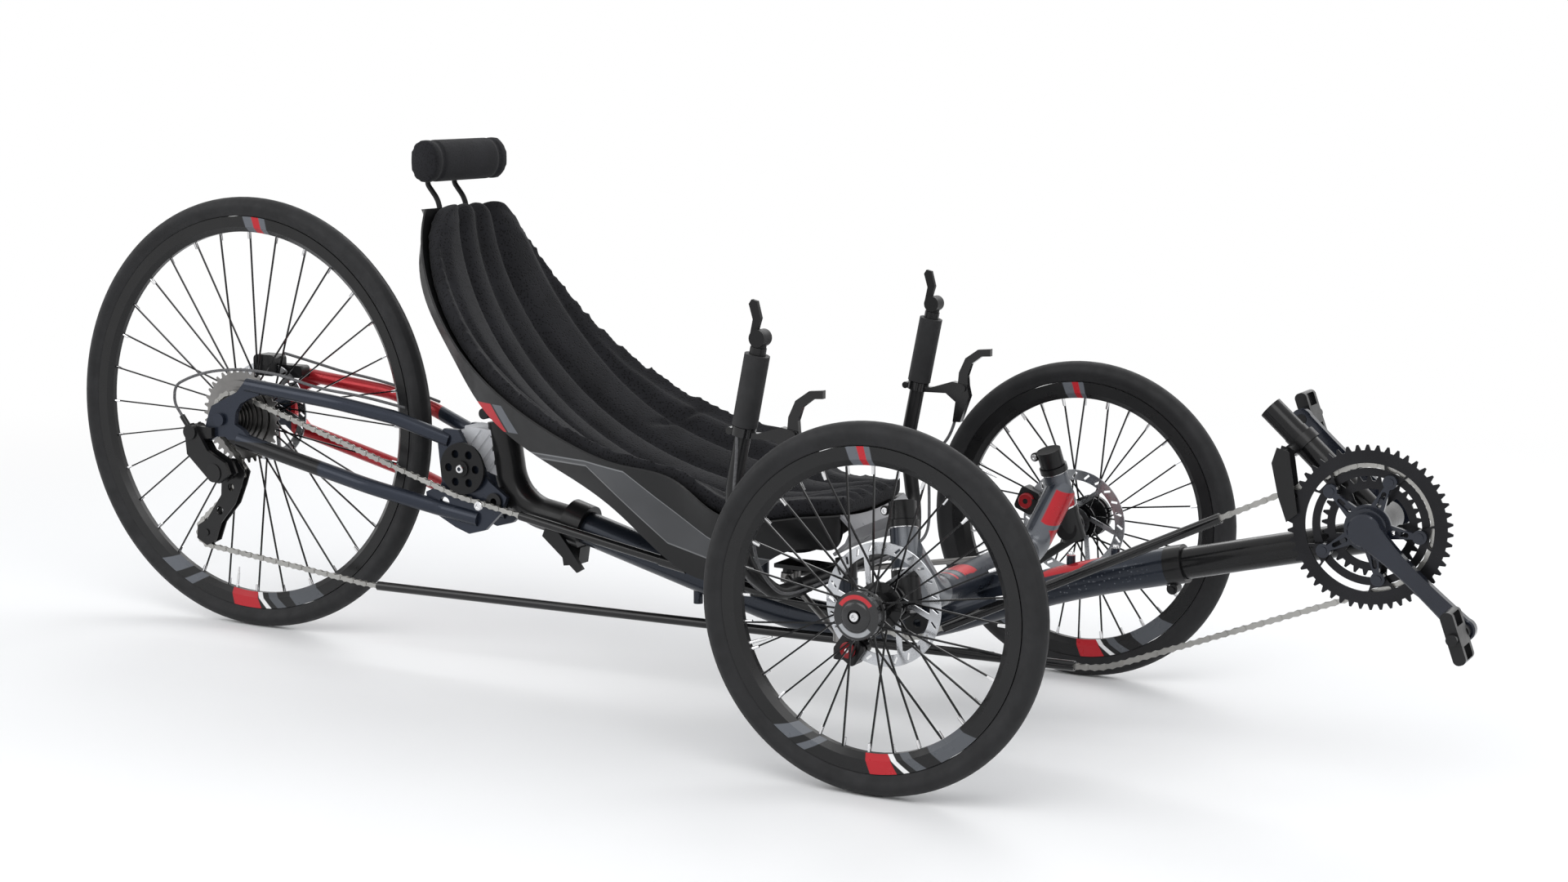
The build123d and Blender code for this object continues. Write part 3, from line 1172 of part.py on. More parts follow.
def cable(name, points, diameter=4.5):
    """A cable along its route, each arc as large as its two runs allow."""
    bends = [
        bend_radius(points[i - 1], points[i], points[i + 1], 0.45)
        for i in range(1, len(points) - 1)
    ]
    print(name, "arcs", [round(bend) for bend in bends])
    return tube(points, bends, diameter)


# Cables clipped to the frame. Each stands beside the tube that carries it.
SHIFT_ROUTE = (
    (REAR_X + 330, -40, REAR_AXLE_Z + 38),
    (REAR_X + 262, -60, REAR_AXLE_Z + 54),
    (REAR_X + 192, -75, REAR_AXLE_Z + 62),
    (REAR_X + 120, -80, REAR_AXLE_Z + 80),
    (REAR_X + 50, -86, REAR_AXLE_Z + 84),
    (REAR_X - 4, -89, REAR_AXLE_Z + 78),
    (REAR_X - 48, -89, REAR_AXLE_Z + 66),
    (REAR_X - 82, -89, REAR_AXLE_Z + 50),
    (REAR_X - 84.5, -89, REAR_AXLE_Z + 21.6),
    (REAR_X - 69.4, -89, REAR_AXLE_Z + 2.5),
)
BRAKE_ROUTE = (
    (REAR_X + 330, 49, REAR_AXLE_Z + 37),
    (REAR_X + 262, 61, REAR_AXLE_Z + 50),
    (REAR_X + 192, 71, REAR_AXLE_Z + 60),
    (REAR_X + 124, 69, REAR_AXLE_Z + 69),
    (REAR_X + 76, 58, REAR_AXLE_Z + 82),
    (REAR_X + 24, 50, REAR_AXLE_Z + 94),
)
with BuildPart() as cables:
    add(cable("shift cable", SHIFT_ROUTE))
    add(cable("rear brake cable", BRAKE_ROUTE))
save(cables.part, "cables")
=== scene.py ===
"""The looks of the recumbent trike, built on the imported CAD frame. Metres, row frame."""
import bpy
import bmesh
import math
from math import atan2, cos, hypot, pi, radians, sin, tan
from mathutils import Matrix, Vector

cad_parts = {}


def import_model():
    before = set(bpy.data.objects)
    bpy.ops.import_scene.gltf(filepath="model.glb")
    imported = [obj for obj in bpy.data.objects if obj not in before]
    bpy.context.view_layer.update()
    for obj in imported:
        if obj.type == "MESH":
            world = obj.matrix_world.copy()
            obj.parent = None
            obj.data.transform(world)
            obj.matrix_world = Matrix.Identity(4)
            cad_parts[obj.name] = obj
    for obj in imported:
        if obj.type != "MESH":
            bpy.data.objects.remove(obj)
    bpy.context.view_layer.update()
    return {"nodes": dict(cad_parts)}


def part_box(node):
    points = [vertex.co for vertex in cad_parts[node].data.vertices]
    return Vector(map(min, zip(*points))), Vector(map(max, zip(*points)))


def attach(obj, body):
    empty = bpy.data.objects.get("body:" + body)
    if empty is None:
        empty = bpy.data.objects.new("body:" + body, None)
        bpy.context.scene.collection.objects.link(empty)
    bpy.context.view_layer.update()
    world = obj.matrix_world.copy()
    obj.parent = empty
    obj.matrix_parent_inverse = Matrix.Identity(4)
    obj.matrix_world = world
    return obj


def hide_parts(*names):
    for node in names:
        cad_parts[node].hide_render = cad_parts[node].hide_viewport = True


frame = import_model()
OFFSET = 0.469546
D = bpy.data
nodes = frame["nodes"]


def at(x, y, z):
    """A point given in millimetres from the front axle, in the row frame."""
    return Vector((x / 1000 + OFFSET, y / 1000, z / 1000))


# The camera, solved from the photograph
CAMERA_AT = (1342, -3124, 924)
YAW, PITCH, ROLL = (radians(a) for a in (27.96, 8.77, 0.50))
LENS, SENSOR = 57.73, 36


def camera():
    ahead = Vector((-sin(YAW) * cos(PITCH), cos(YAW) * cos(PITCH), -sin(PITCH)))
    level = Vector((cos(YAW), sin(YAW), 0))
    up = level.cross(ahead)
    right, up = level * cos(ROLL) + up * sin(ROLL), up * cos(ROLL) - level * sin(ROLL)
    data = D.cameras.new("camera")
    data.lens = LENS
    data.sensor_width = SENSOR
    data.clip_end = 60
    obj = D.objects.new("camera", data)
    turn = Matrix((right, up, -ahead)).transposed().to_4x4()
    obj.matrix_world = Matrix.Translation(at(*CAMERA_AT)) @ turn
    bpy.context.collection.objects.link(obj)
    bpy.context.scene.camera = obj


def lamp(name, place, target, energy, wide, high):
    data = D.lights.new(name, "AREA")
    data.shape = "RECTANGLE"
    data.size, data.size_y = wide, high
    data.energy = energy
    obj = D.objects.new(name, data)
    obj.location = place
    obj.rotation_euler = (Vector(target) - Vector(place)).to_track_quat("-Z", "Y").to_euler()
    bpy.context.collection.objects.link(obj)


def seen_ray(nt, path):
    """One for the rays that see the background: from the camera, off gloss and through glass."""
    first = nt.nodes.new("ShaderNodeMath")
    first.operation = "MAXIMUM"
    second = nt.nodes.new("ShaderNodeMath")
    second.operation = "MAXIMUM"
    nt.links.new(path.outputs["Is Camera Ray"], first.inputs[0])
    nt.links.new(path.outputs["Is Glossy Ray"], first.inputs[1])
    nt.links.new(first.outputs[0], second.inputs[0])
    nt.links.new(path.outputs["Is Transmission Ray"], second.inputs[1])
    return second.outputs[0]


def world():
    """A soft pale room that the camera, metal and glass see as white."""
    w = D.worlds.new("studio")
    bpy.context.scene.world = w
    w.use_nodes = True
    nt = w.node_tree
    nt.nodes.clear()
    out = nt.nodes.new("ShaderNodeOutputWorld")
    mix = nt.nodes.new("ShaderNodeMixShader")
    path = nt.nodes.new("ShaderNodeLightPath")
    seen = nt.nodes.new("ShaderNodeBackground")
    seen.inputs[0].default_value = (1, 1, 1, 1)
    lit = nt.nodes.new("ShaderNodeBackground")
    lit.inputs[0].default_value = (0.95, 0.97, 1, 1)
    lit.inputs[1].default_value = 0.7
    nt.links.new(seen_ray(nt, path), mix.inputs[0])
    nt.links.new(lit.outputs[0], mix.inputs[1])
    nt.links.new(seen.outputs[0], mix.inputs[2])
    nt.links.new(mix.outputs[0], out.inputs[0])


def floor():
    """A pale floor that fades to white away from the trike."""
    mesh = D.meshes.new("floor")
    mesh.from_pydata([(-30, -30, 0), (30, -30, 0), (30, 30, 0), (-30, 30, 0)], [], [(0, 1, 2, 3)])
    obj = D.objects.new("floor", mesh)
    bpy.context.collection.objects.link(obj)
    mat = D.materials.new("floor_white")
    mat.use_nodes = True
    nt = mat.node_tree
    surface = nt.nodes["Principled BSDF"]
    surface.inputs["Base Color"].default_value = (0.9, 0.9, 0.9, 1)
    surface.inputs["Roughness"].default_value = 0.55
    out = nt.nodes["Material Output"]
    glow = nt.nodes.new("ShaderNodeEmission")
    glow.inputs[0].default_value = (1, 1, 1, 1)
    mix = nt.nodes.new("ShaderNodeMixShader")
    coord = nt.nodes.new("ShaderNodeTexCoord")
    length = nt.nodes.new("ShaderNodeVectorMath")
    length.operation = "LENGTH"
    ramp = nt.nodes.new("ShaderNodeMapRange")
    ramp.interpolation_type = "SMOOTHSTEP"
    ramp.inputs["From Min"].default_value = 1.2
    ramp.inputs["From Max"].default_value = 3.4
    path = nt.nodes.new("ShaderNodeLightPath")
    both = nt.nodes.new("ShaderNodeMath")
    both.operation = "MULTIPLY"
    nt.links.new(coord.outputs["Object"], length.inputs[0])
    nt.links.new(length.outputs["Value"], ramp.inputs["Value"])
    nt.links.new(ramp.outputs[0], both.inputs[0])
    nt.links.new(seen_ray(nt, path), both.inputs[1])
    nt.links.new(both.outputs[0], mix.inputs[0])
    nt.links.new(surface.outputs[0], mix.inputs[1])
    nt.links.new(glow.outputs[0], mix.inputs[2])
    nt.links.new(mix.outputs[0], out.inputs[0])
    mesh.materials.append(mat)


camera()
world()
lamp("key", (1.2, -2.4, 3.0), (0, 0, 0.3), 62, 3.4, 2.4)
lamp("fill", (-2.6, -2.4, 2.0), (-0.2, 0, 0.3), 30, 2.6, 2.0)
lamp("back", (0.2, 2.8, 2.6), (0, 0, 0.3), 46, 4, 1.6)
floor()
bpy.context.scene.view_settings.view_transform = "Standard"


# Materials
class Look:
    """A node material: a Principled shader whose colour and bump are made from masks."""

    def __init__(self, name, colour, rough, metal=0.0, coat=0.0, sheen=0.0, shine=0.5):
        self.mat = D.materials.new(name)
        self.mat.use_nodes = True
        self.nt = self.mat.node_tree
        self.bsdf = self.nt.nodes["Principled BSDF"]
        self.bsdf.inputs["Metallic"].default_value = metal
        self.bsdf.inputs["Coat Weight"].default_value = coat
        self.bsdf.inputs["Coat Roughness"].default_value = 0.08
        self.bsdf.inputs["Sheen Weight"].default_value = sheen
        self.bsdf.inputs["Specular IOR Level"].default_value = shine
        self.place = self.nt.nodes.new("ShaderNodeTexCoord").outputs["Object"]
        self.colour = self.rgb(colour)
        self.rough = rough
        self.bump = None

    def node(self, kind, **inputs):
        made = self.nt.nodes.new(kind)
        for key, value in inputs.items():
            socket = made.inputs[int(key[1:])] if key[0] == "i" and key[1:].isdigit() else made.inputs[key]
            if hasattr(value, "is_output"):
                self.nt.links.new(value, socket)
            else:
                socket.default_value = value
        return made

    def rgb(self, colour):
        made = self.nt.nodes.new("ShaderNodeRGB")
        made.outputs[0].default_value = (*colour, 1)
        return made.outputs[0]

    def math(self, what, a, b=0.0):
        made = self.node("ShaderNodeMath", i0=a, i1=b)
        made.operation = what
        return made.outputs[0]

    def noise(self, scale, detail):
        made = self.node("ShaderNodeTexNoise", Vector=self.place, Scale=scale, Detail=detail)
        return made.outputs["Fac"]

    def parts(self):
        split = self.node("ShaderNodeSeparateXYZ", i0=self.place)
        return split.outputs[0], split.outputs[1], split.outputs[2]

    def paint(self, colour, mask):
        """Lays a colour over what is there, where the mask is 1."""
        mix = self.nt.nodes.new("ShaderNodeMix")
        mix.data_type = "RGBA"
        self.nt.links.new(mask, mix.inputs[0])
        self.nt.links.new(self.colour, mix.inputs[6])
        mix.inputs[7].default_value = (*colour, 1)
        self.colour = mix.outputs[2]
        return self

    def vary(self, amount, scale):
        """Colour that wanders a little darker and lighter."""
        hue = self.nt.nodes.new("ShaderNodeHueSaturation")
        value = self.node("ShaderNodeMapRange", Value=self.noise(scale, 4))
        value.inputs["From Min"].default_value = 0.3
        value.inputs["From Max"].default_value = 0.7
        value.inputs["To Min"].default_value = 1 - amount
        value.inputs["To Max"].default_value = 1 + amount
        self.nt.links.new(self.colour, hue.inputs["Color"])
        self.nt.links.new(value.outputs[0], hue.inputs["Value"])
        self.colour = hue.outputs[0]
        return self

    def rub(self, spread, scale):
        """Roughness that wanders, as on handled surfaces."""
        value = self.node("ShaderNodeMapRange", Value=self.noise(scale, 5))
        value.inputs["From Min"].default_value = 0.3
        value.inputs["From Max"].default_value = 0.7
        value.inputs["To Min"].default_value = max(0.02, self.rough - spread)
        value.inputs["To Max"].default_value = min(1, self.rough + spread)
        self.nt.links.new(value.outputs[0], self.bsdf.inputs["Roughness"])
        return self

    def emboss(self, height, strength, distance=0.001):
        made = self.node("ShaderNodeBump", Strength=strength, Distance=distance, Height=height)
        if self.bump is not None:
            self.nt.links.new(self.bump, made.inputs["Normal"])
        self.bump = made.outputs[0]
        return self

    def slab(self, socket, low, high, soft=0.0006):
        """1 where low < socket < high."""
        up = self.node("ShaderNodeMapRange", Value=socket)
        up.inputs["From Min"].default_value, up.inputs["From Max"].default_value = low - soft, low + soft
        down = self.node("ShaderNodeMapRange", Value=socket)
        down.inputs["From Min"].default_value = high - soft
        down.inputs["From Max"].default_value = high + soft
        down.inputs["To Min"].default_value, down.inputs["To Max"].default_value = 1, 0
        return self.math("MULTIPLY", up.outputs[0], down.outputs[0])

    def curve(self, socket, points):
        """A value read from straight runs between (place, value) points."""
        value = None
        for (x1, v1), (x2, v2) in zip(points, points[1:]):
            ramp = self.node("ShaderNodeMapRange", Value=socket)
            for key, number in (("From Min", x1), ("From Max", x2), ("To Min", 0), ("To Max", v2 - v1)):
                ramp.inputs[key].default_value = number
            value = ramp.outputs[0] if value is None else self.math("ADD", value, ramp.outputs[0])
        return self.math("ADD", value, points[0][1])

    def both(self, *masks):
        result = masks[0]
        for mask in masks[1:]:
            result = self.math("MULTIPLY", result, mask)
        return result

    def polar(self, centre):
        """Turn in degrees and radius about an axle along Y. 0 is forward, 90 is up."""
        x, _, z = self.parts()
        dx = self.math("SUBTRACT", x, centre.x)
        dz = self.math("SUBTRACT", z, centre.z)
        turn = self.math("MULTIPLY", self.math("ARCTAN2", dz, dx), 180 / pi)
        square = self.math("ADD", self.math("MULTIPLY", dx, dx), self.math("MULTIPLY", dz, dz))
        return turn, self.math("SQRT", square)

    def facing(self, axis):
        normal = self.nt.nodes.new("ShaderNodeNewGeometry").outputs["Normal"]
        split = self.node("ShaderNodeSeparateXYZ", i0=normal)
        return split.outputs[axis]

    def done(self):
        self.nt.links.new(self.colour, self.bsdf.inputs["Base Color"])
        if not self.bsdf.inputs["Roughness"].is_linked:
            self.bsdf.inputs["Roughness"].default_value = self.rough
        if self.bump is not None:
            self.nt.links.new(self.bump, self.bsdf.inputs["Normal"])
        return self.mat


NAVY = (0.020, 0.025, 0.036)
GREY = (0.105, 0.113, 0.128)
RED = (0.42, 0.012, 0.02)
WHITE = (0.78, 0.78, 0.78)


def paint_look(name, colour):
    """Sprayed metal: fine flake, slight orange peel, a clear coat."""
    look = Look(name, colour, 0.3, metal=0.45, coat=0.21, shine=0.3)
    look.vary(0.10, 900).vary(0.05, 9).rub(0.06, 30)
    return look.emboss(look.noise(420, 2), 0.05, 0.0004)


def frame_look():
    look = paint_look("frame_paint", NAVY)
    x, y, z = look.parts()
    across = look.math("ABSOLUTE", y)
    # Painted highlight on the flattened faces of the cross tube's ends, towards the front and the side: a
    # pale grey as painted light, lighter on the near side than on the far side
    pale = look.both(look.slab(across, 0.150, 0.300), look.slab(look.facing(0), 0.05, 2, 0.12))
    look.paint((0.16, 0.17, 0.185), look.both(pale, look.slab(y, -1, 0)))
    look.paint(GREY, look.both(pale, look.slab(y, 0, 1)))
    upright = look.both(look.slab(y, 0.188, 0.268), look.slab(look.facing(0), 0.25, 2, 0.05))
    tilt = look.math("ADD", z, look.math("MULTIPLY", x, 0.4))
    for low, high in ((0.410, 0.418), (0.424, 0.444), (0.450, 0.492)):
        look.paint(RED, look.both(upright, look.slab(tilt, low, high)))
    # Red and grey stripes along the front tube's upper side
    top = look.slab(look.facing(2), 0.62, 2, 0.03)
    lean = look.math("ADD", x, look.math("MULTIPLY", across, 1.6))
    for low, high, colour in ((0.575, 0.640, RED), (0.648, 0.664, GREY), (0.672, 0.680, RED)):
        look.paint(colour, look.both(top, look.slab(lean, low, high)))
    # A fine pattern of dots on the front tube's sides
    cells = look.node("ShaderNodeTexVoronoi", Vector=look.place, Scale=190)
    dots = look.slab(cells.outputs["Distance"], -1, 0.22, 0.04)
    sides = look.both(look.slab(x, 0.50, 0.70, 0.03), look.slab(look.facing(2), -0.45, 0.45, 0.1), dots)
    look.paint((0.12, 0.13, 0.15), sides)
    return look.done()


def swingarm_look():
    look = paint_look("swingarm_paint", (0.018, 0.023, 0.036))
    x, y, z = look.parts()
    left = look.slab(y, 0.028, 1)
    stays = look.slab(x, -0.79, -0.475)
    look.paint((0.36, 0.012, 0.018), look.both(left, stays))
    right = look.slab(y, -1, -0.03)
    dropout = look.both(right, look.slab(x, -0.80, -0.62, 0.002), look.slab(z, 0.20, 0.315))
    look.paint((0.008, 0.008, 0.009), dropout)
    return look.done()


def plain_black(name, rough=0.38, coat=0.0, metal=0.0, colour=(0.007, 0.007, 0.0075), shine=0.22):
    look = Look(name, colour, rough, metal=metal, coat=coat, shine=shine)
    look.vary(0.18, 14).rub(0.08, 45)
    return look.emboss(look.noise(700, 3), 0.08, 0.0003).done()


def metal_look(name, colour, rough, scale=260):
    look = Look(name, colour, rough, metal=1.0)
    look.vary(0.10, 24).rub(0.07, 60)
    return look.emboss(look.noise(scale, 4), 0.08, 0.0004).done()


def rubber_look(name, colour=(0.016, 0.016, 0.017)):
    look = Look(name, colour, 0.62, sheen=0.03, shine=0.22)
    look.vary(0.2, 30).rub(0.08, 80)
    return look.emboss(look.noise(1500, 2), 0.25, 0.0004).done()


def rim_look(name, centre, bars, middle_r):
    """Black rim with slanted bars, straight across at the middle of its height."""
    look = Look(name, (0.006, 0.006, 0.0065), 0.3, metal=0.0, coat=0.06, shine=0.3)
    look.vary(0.1, 40).rub(0.05, 50)
    turn, radius = look.polar(centre)
    side = look.slab(look.math("ABSOLUTE", look.facing(1)), 0.5, 2, 0.05)
    for middle, half, slant, colour in bars:
        offset = look.math("MULTIPLY", look.math("SUBTRACT", radius, middle_r), slant)
        lean = look.math("ADD", turn, offset)
        look.paint(colour, look.both(side, look.slab(lean, middle - half, middle + half, 0.15)))
    return look.emboss(look.noise(300, 3), 0.04, 0.0003).done()


def fabric_look(name, colour, cell=260):
    """Black spacer mesh: small sunk holes with painted shade in them, soft sheen."""
    look = Look(name, colour, 0.85, sheen=0.06, shine=0.12)
    cells = look.node("ShaderNodeTexVoronoi", Vector=look.place, Scale=cell)
    holes = look.slab(cells.outputs["Distance"], -1, 0.30, 0.1)
    # Painted shade: the sunk holes are painted near black, darker than the cloth
    look.paint((0.002, 0.002, 0.002), look.math("MULTIPLY", holes, 0.85))
    look.vary(0.25, 18)
    look.emboss(look.math("SUBTRACT", 1.0, holes), 0.6, 0.0011)
    return look.emboss(look.noise(2200, 2), 0.2, 0.0003).done()


# The rubber panel on the shell's side as (x, lower z, upper z), in millimetres
PANEL = (
    (-529, 352, 358), (-463, 288, 349), (-420, 246, 314), (-350, 226, 262), (-300, 214, 236),
    (-262, 226, 226),
)


def shell_look():
    look = Look("seat_shell_plastic", (0.006, 0.006, 0.0065), 0.36, coat=0.1, shine=0.25)
    x, _, z = look.parts()
    outside = look.slab(look.math("ABSOLUTE", look.facing(1)), 0.22, 2, 0.06)
    lean = look.math("ADD", x, look.math("MULTIPLY", z, 0.55))
    band = look.slab(z, 0.385, 0.425, 0.0005)
    for low, high, colour in ((-0.030, 0.006, RED), (0.010, 0.030, GREY)):
        look.paint(colour, look.both(outside, look.slab(lean, low, high, 0.0006), band))
    places = [(at(px, 0, 0).x, low / 1000, high / 1000) for px, low, high in PANEL]
    lower, upper = (look.curve(x, [(place[0], place[k]) for place in places]) for k in (1, 2))
    above = look.math("SUBTRACT", z, lower)
    below = look.math("SUBTRACT", upper, z)
    edge = look.math("MINIMUM", above, below)
    panel = look.both(outside, look.slab(edge, 0.0, 1, 0.0006))
    look.paint((0.060, 0.062, 0.066), panel)
    look.paint((0.17, 0.175, 0.18), look.both(outside, look.slab(edge, -0.0016, 0.0006, 0.0004)))
    look.vary(0.12, 12).rub(0.06, 40)
    look.emboss(look.noise(260, 3), 0.05, 0.0005)
    return look.emboss(look.slab(edge, 0.0, 1, 0.002), 0.6, 0.0015).done()


def braid_look():
    look = Look("cable_braid", (0.10, 0.10, 0.105), 0.5, metal=0.3)
    wave = look.node("ShaderNodeTexWave", Vector=look.place, Scale=420)
    look.vary(0.3, 300)
    return look.emboss(wave.outputs["Fac"], 0.5, 0.0005).done()


# Bars on the rims as (middle turn, half width, slant in degrees a metre, colour)
BOX_GREY = (0.080, 0.086, 0.096)
FRONT_BARS = (
    (94, 4.6, -60, GREY), (93, 1.4, -60, RED), (-122.5, 3.6, 260, GREY), (-113.5, 1.8, 260, GREY),
    (-84, 5.2, -120, RED), (-76.4, 1.1, -260, WHITE), (-70.5, 2.0, -260, BOX_GREY),
    (-53, 8.2, -160, BOX_GREY),
)
REAR_BARS = (
    (86, 4.0, -60, GREY), (85.5, 1.3, -60, RED), (-122, 3.2, 170, GREY), (-113.5, 1.6, 170, GREY),
    (-92.5, 5.0, -80, RED), (-85.4, 0.9, -170, WHITE), (-80.5, 1.7, -170, BOX_GREY),
    (-69, 5.5, -110, BOX_GREY),
)
FRONT_R, REAR_R = 0.238, 0.346
RIGHT_WHEEL = at(0, -360, 238)
LEFT_WHEEL = at(0, 360, 238)
REAR_WHEEL = at(-1280, 0, 346)
FRONT_BAR_R, REAR_BAR_R = 0.197, 0.307
M = {
    "frame": frame_look(),
    "swingarm": swingarm_look(),
    "black": plain_black("black_paint", 0.34, coat=0.1575),
    "satin": plain_black("black_satin", 0.5),
    "gloss": plain_black("gloss_black", 0.16, coat=0.36),
    "plastic": plain_black("black_plastic", 0.46),
    "boom": plain_black("boom_black", 0.28, coat=0.225, metal=0.3),
    "crank": plain_black(
        "crank_navy", 0.2, coat=0.27, metal=0.35, colour=(0.012, 0.015, 0.024), shine=0.4,
    ),
    "ring": plain_black("ring_black", 0.3, metal=0.7, colour=(0.02, 0.02, 0.022)),
    "hub": plain_black("hub_black", 0.24, coat=0.225, metal=0.5),
    "disc": metal_look("disc_steel", (0.5, 0.51, 0.53), 0.28, 120),
    "dark_nickel": metal_look("dark_nickel", (0.22, 0.215, 0.21), 0.34),
    "chain": metal_look("chain_steel", (0.36, 0.355, 0.34), 0.34),
    "silver": metal_look("silver_bolt", (0.72, 0.72, 0.73), 0.2),
    "tyre": rubber_look("tyre_rubber"),
    "rubber": rubber_look("grip_rubber", (0.02, 0.02, 0.021)),
    "shell": shell_look(),
    "lip": plain_black("lip_grey", 0.35, coat=0.135, colour=(0.2, 0.2, 0.21)),
    "mesh": fabric_look("spacer_mesh", (0.014, 0.014, 0.016)),
    "pad": fabric_look("headrest_cloth", (0.014, 0.014, 0.016), 420),
    "red": plain_black("dark_red", 0.3, coat=0.18, colour=(0.25, 0.008, 0.012)),
    "white_foam": rubber_look("elastomer_pale", (0.55, 0.56, 0.58)),
    "braid": braid_look(),
}
for key, centre, bars, middle_r in (
    ("right", RIGHT_WHEEL, FRONT_BARS, FRONT_BAR_R),
    ("left", LEFT_WHEEL, FRONT_BARS, FRONT_BAR_R),
    ("rear", REAR_WHEEL, REAR_BARS, REAR_BAR_R),
):
    M["rim_" + key] = rim_look("rim_" + key, centre, bars, middle_r)

CAD_LOOKS = {
    "main_frame": "frame", "swingarm": "swingarm", "boom": "boom", "boom_collar": "black",
    "rear_riser": "black",
    "fold_clamp": "black", "handlebar": "black", "headrest_frame": "satin", "knuckle_right": "black",
    "knuckle_left": "black", "front_hub_right": "hub", "front_hub_left": "hub", "rear_hub": "hub",
    "front_disc_right": "disc", "front_disc_left": "disc", "rear_disc": "disc", "cassette": "dark_nickel",
    "chain": "chain", "tie_rod_right": "dark_nickel", "tie_rod_left": "dark_nickel", "chainrings": "ring",
    "rear_derailleur": "black", "front_derailleur": "black", "brake_levers": "gloss", "shifters": "plastic",
    "caliper_right": "black", "caliper_left": "black", "rear_caliper": "black", "crankset": "crank",
    "pedal_right": "black", "pedal_left": "black", "idlers": "plastic", "jockey_wheels": "plastic",
    "chain_tubes": "gloss", "shock": "white_foam", "seat_shell": "shell", "seat_lip": "lip",
    "seat_cushion": "mesh", "headrest_pad": "pad", "grips": "rubber", "cables": "braid",
    "front_tyre_right": "tyre", "front_tyre_left": "tyre", "rear_tyre": "tyre",
    "front_rim_right": "rim_right", "front_rim_left": "rim_left", "rear_rim": "rim_rear",
}
for name, look in CAD_LOOKS.items():
    for slot in nodes[name].material_slots:
        slot.material = M[look]


# Mesh helpers
def finish_piece(bm, name, look, body, sharp=35):
    """Turns a bmesh into a piece that rides on a body."""
    mesh = D.meshes.new(name)
    bmesh.ops.recalc_face_normals(bm, faces=bm.faces)
    bm.to_mesh(mesh)
    bm.free()
    mesh.materials.append(M[look])
    mesh.shade_smooth()
    mesh.set_sharp_from_angle(angle=radians(sharp))
    obj = D.objects.new(name, mesh)
    bpy.context.collection.objects.link(obj)
    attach(obj, body)
    return obj


def lathe(bm, centre, axis, outline, steps, closed=True):
    """Turns an outline of (along the axis, radius) round it. Closed outlines are rings."""
    axis = Vector(axis).normalized()
    across = axis.orthogonal().normalized()
    up = axis.cross(across)
    rings = []
    for index in range(steps):
        angle = 2 * pi * index / steps
        out = across * cos(angle) + up * sin(angle)
        rings.append([bm.verts.new(centre + axis * along + out * radius) for along, radius in outline])
    count = len(outline)
    last = count if closed else count - 1
    for index in range(steps):
        here, after = rings[index], rings[(index + 1) % steps]
        for row in range(last):
            follow = (row + 1) % count
            bm.faces.new((here[row], here[follow], after[follow], after[row]))
    if not closed:
        bm.faces.new([ring[0] for ring in rings])
        bm.faces.new([ring[-1] for ring in reversed(rings)])


def socket_bolt(bm, place, axis, radius, height, steps=14):
    """A round bolt head with a chamfer and a sunk middle, standing on its place."""
    outline = (
        (0, radius), (height * 0.75, radius), (height, radius * 0.86),
        (height, radius * 0.5), (height * 0.45, radius * 0.44),
    )
    lathe(bm, place, axis, outline, steps, closed=False)


def pipe(name, points, diameter, look, body):
    """A round cable along a smooth curve through given points."""
    data = D.curves.new(name, "CURVE")
    data.dimensions = "3D"
    data.bevel_depth = diameter / 2
    data.bevel_resolution = 3
    data.resolution_u = 10
    spline = data.splines.new("NURBS")
    spline.points.add(len(points) - 1)
    for point, place in zip(spline.points, points):
        point.co = (*place, 1)
    spline.order_u = 3
    spline.use_endpoint_u = True
    data.use_fill_caps = True
    data.materials.append(M[look])
    obj = D.objects.new(name, data)
    bpy.context.collection.objects.link(obj)
    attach(obj, body)
    return obj


# Tyres: a round casing with a centre line, side ribs and a bead
TYRES = (
    ("front_tyre_right", "front_wheel_right", RIGHT_WHEEL, FRONT_R),
    ("front_tyre_left", "front_wheel_left", LEFT_WHEEL, FRONT_R),
    ("rear_tyre", "rear_wheel", REAR_WHEEL, REAR_R),
)
CASING = (
    (0.0108, -0.0296), (0.0125, -0.0272), (0.0131, -0.0240), (0.0152, -0.0205), (0.0170, -0.0160),
    (0.0172, -0.0128), (0.0163, -0.0095), (0.0158, -0.0088), (0.0146, -0.0062), (0.0124, -0.0040),
    (0.0120, -0.0043), (0.0092, -0.0020), (0.0060, -0.0008), (0.0056, -0.0013), (0.0030, -0.0002),
)
for name, body, centre, radius in TYRES:
    bm = bmesh.new()
    half = [(along, radius + fall) for along, fall in CASING]
    outline = half + [(0, radius)] + [(-along, r) for along, r in reversed(half)]
    lathe(bm, centre, (0, 1, 0), outline, 128)
    tyre = finish_piece(bm, name + "_casing", "tyre", body, sharp=50)
    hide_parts(name)

# Valves
STEM = (
    (-0.001, 0.003), (0.004, 0.003), (0.005, 0.0022), (0.024, 0.0022), (0.025, 0.0016), (0.034, 0.0013),
)
for name, body, centre, radius, turn in (
    ("valve_right", "front_wheel_right", RIGHT_WHEEL, 0.183, 200),
    ("valve_left", "front_wheel_left", LEFT_WHEEL, 0.183, 160),
    ("valve_rear", "rear_wheel", REAR_WHEEL, 0.291, 262),
):
    way = Vector((cos(radians(turn)), 0, sin(radians(turn))))
    bm = bmesh.new()
    lathe(bm, centre + way * radius, -way, STEM, 12, closed=False)
    finish_piece(bm, name, "silver", body)

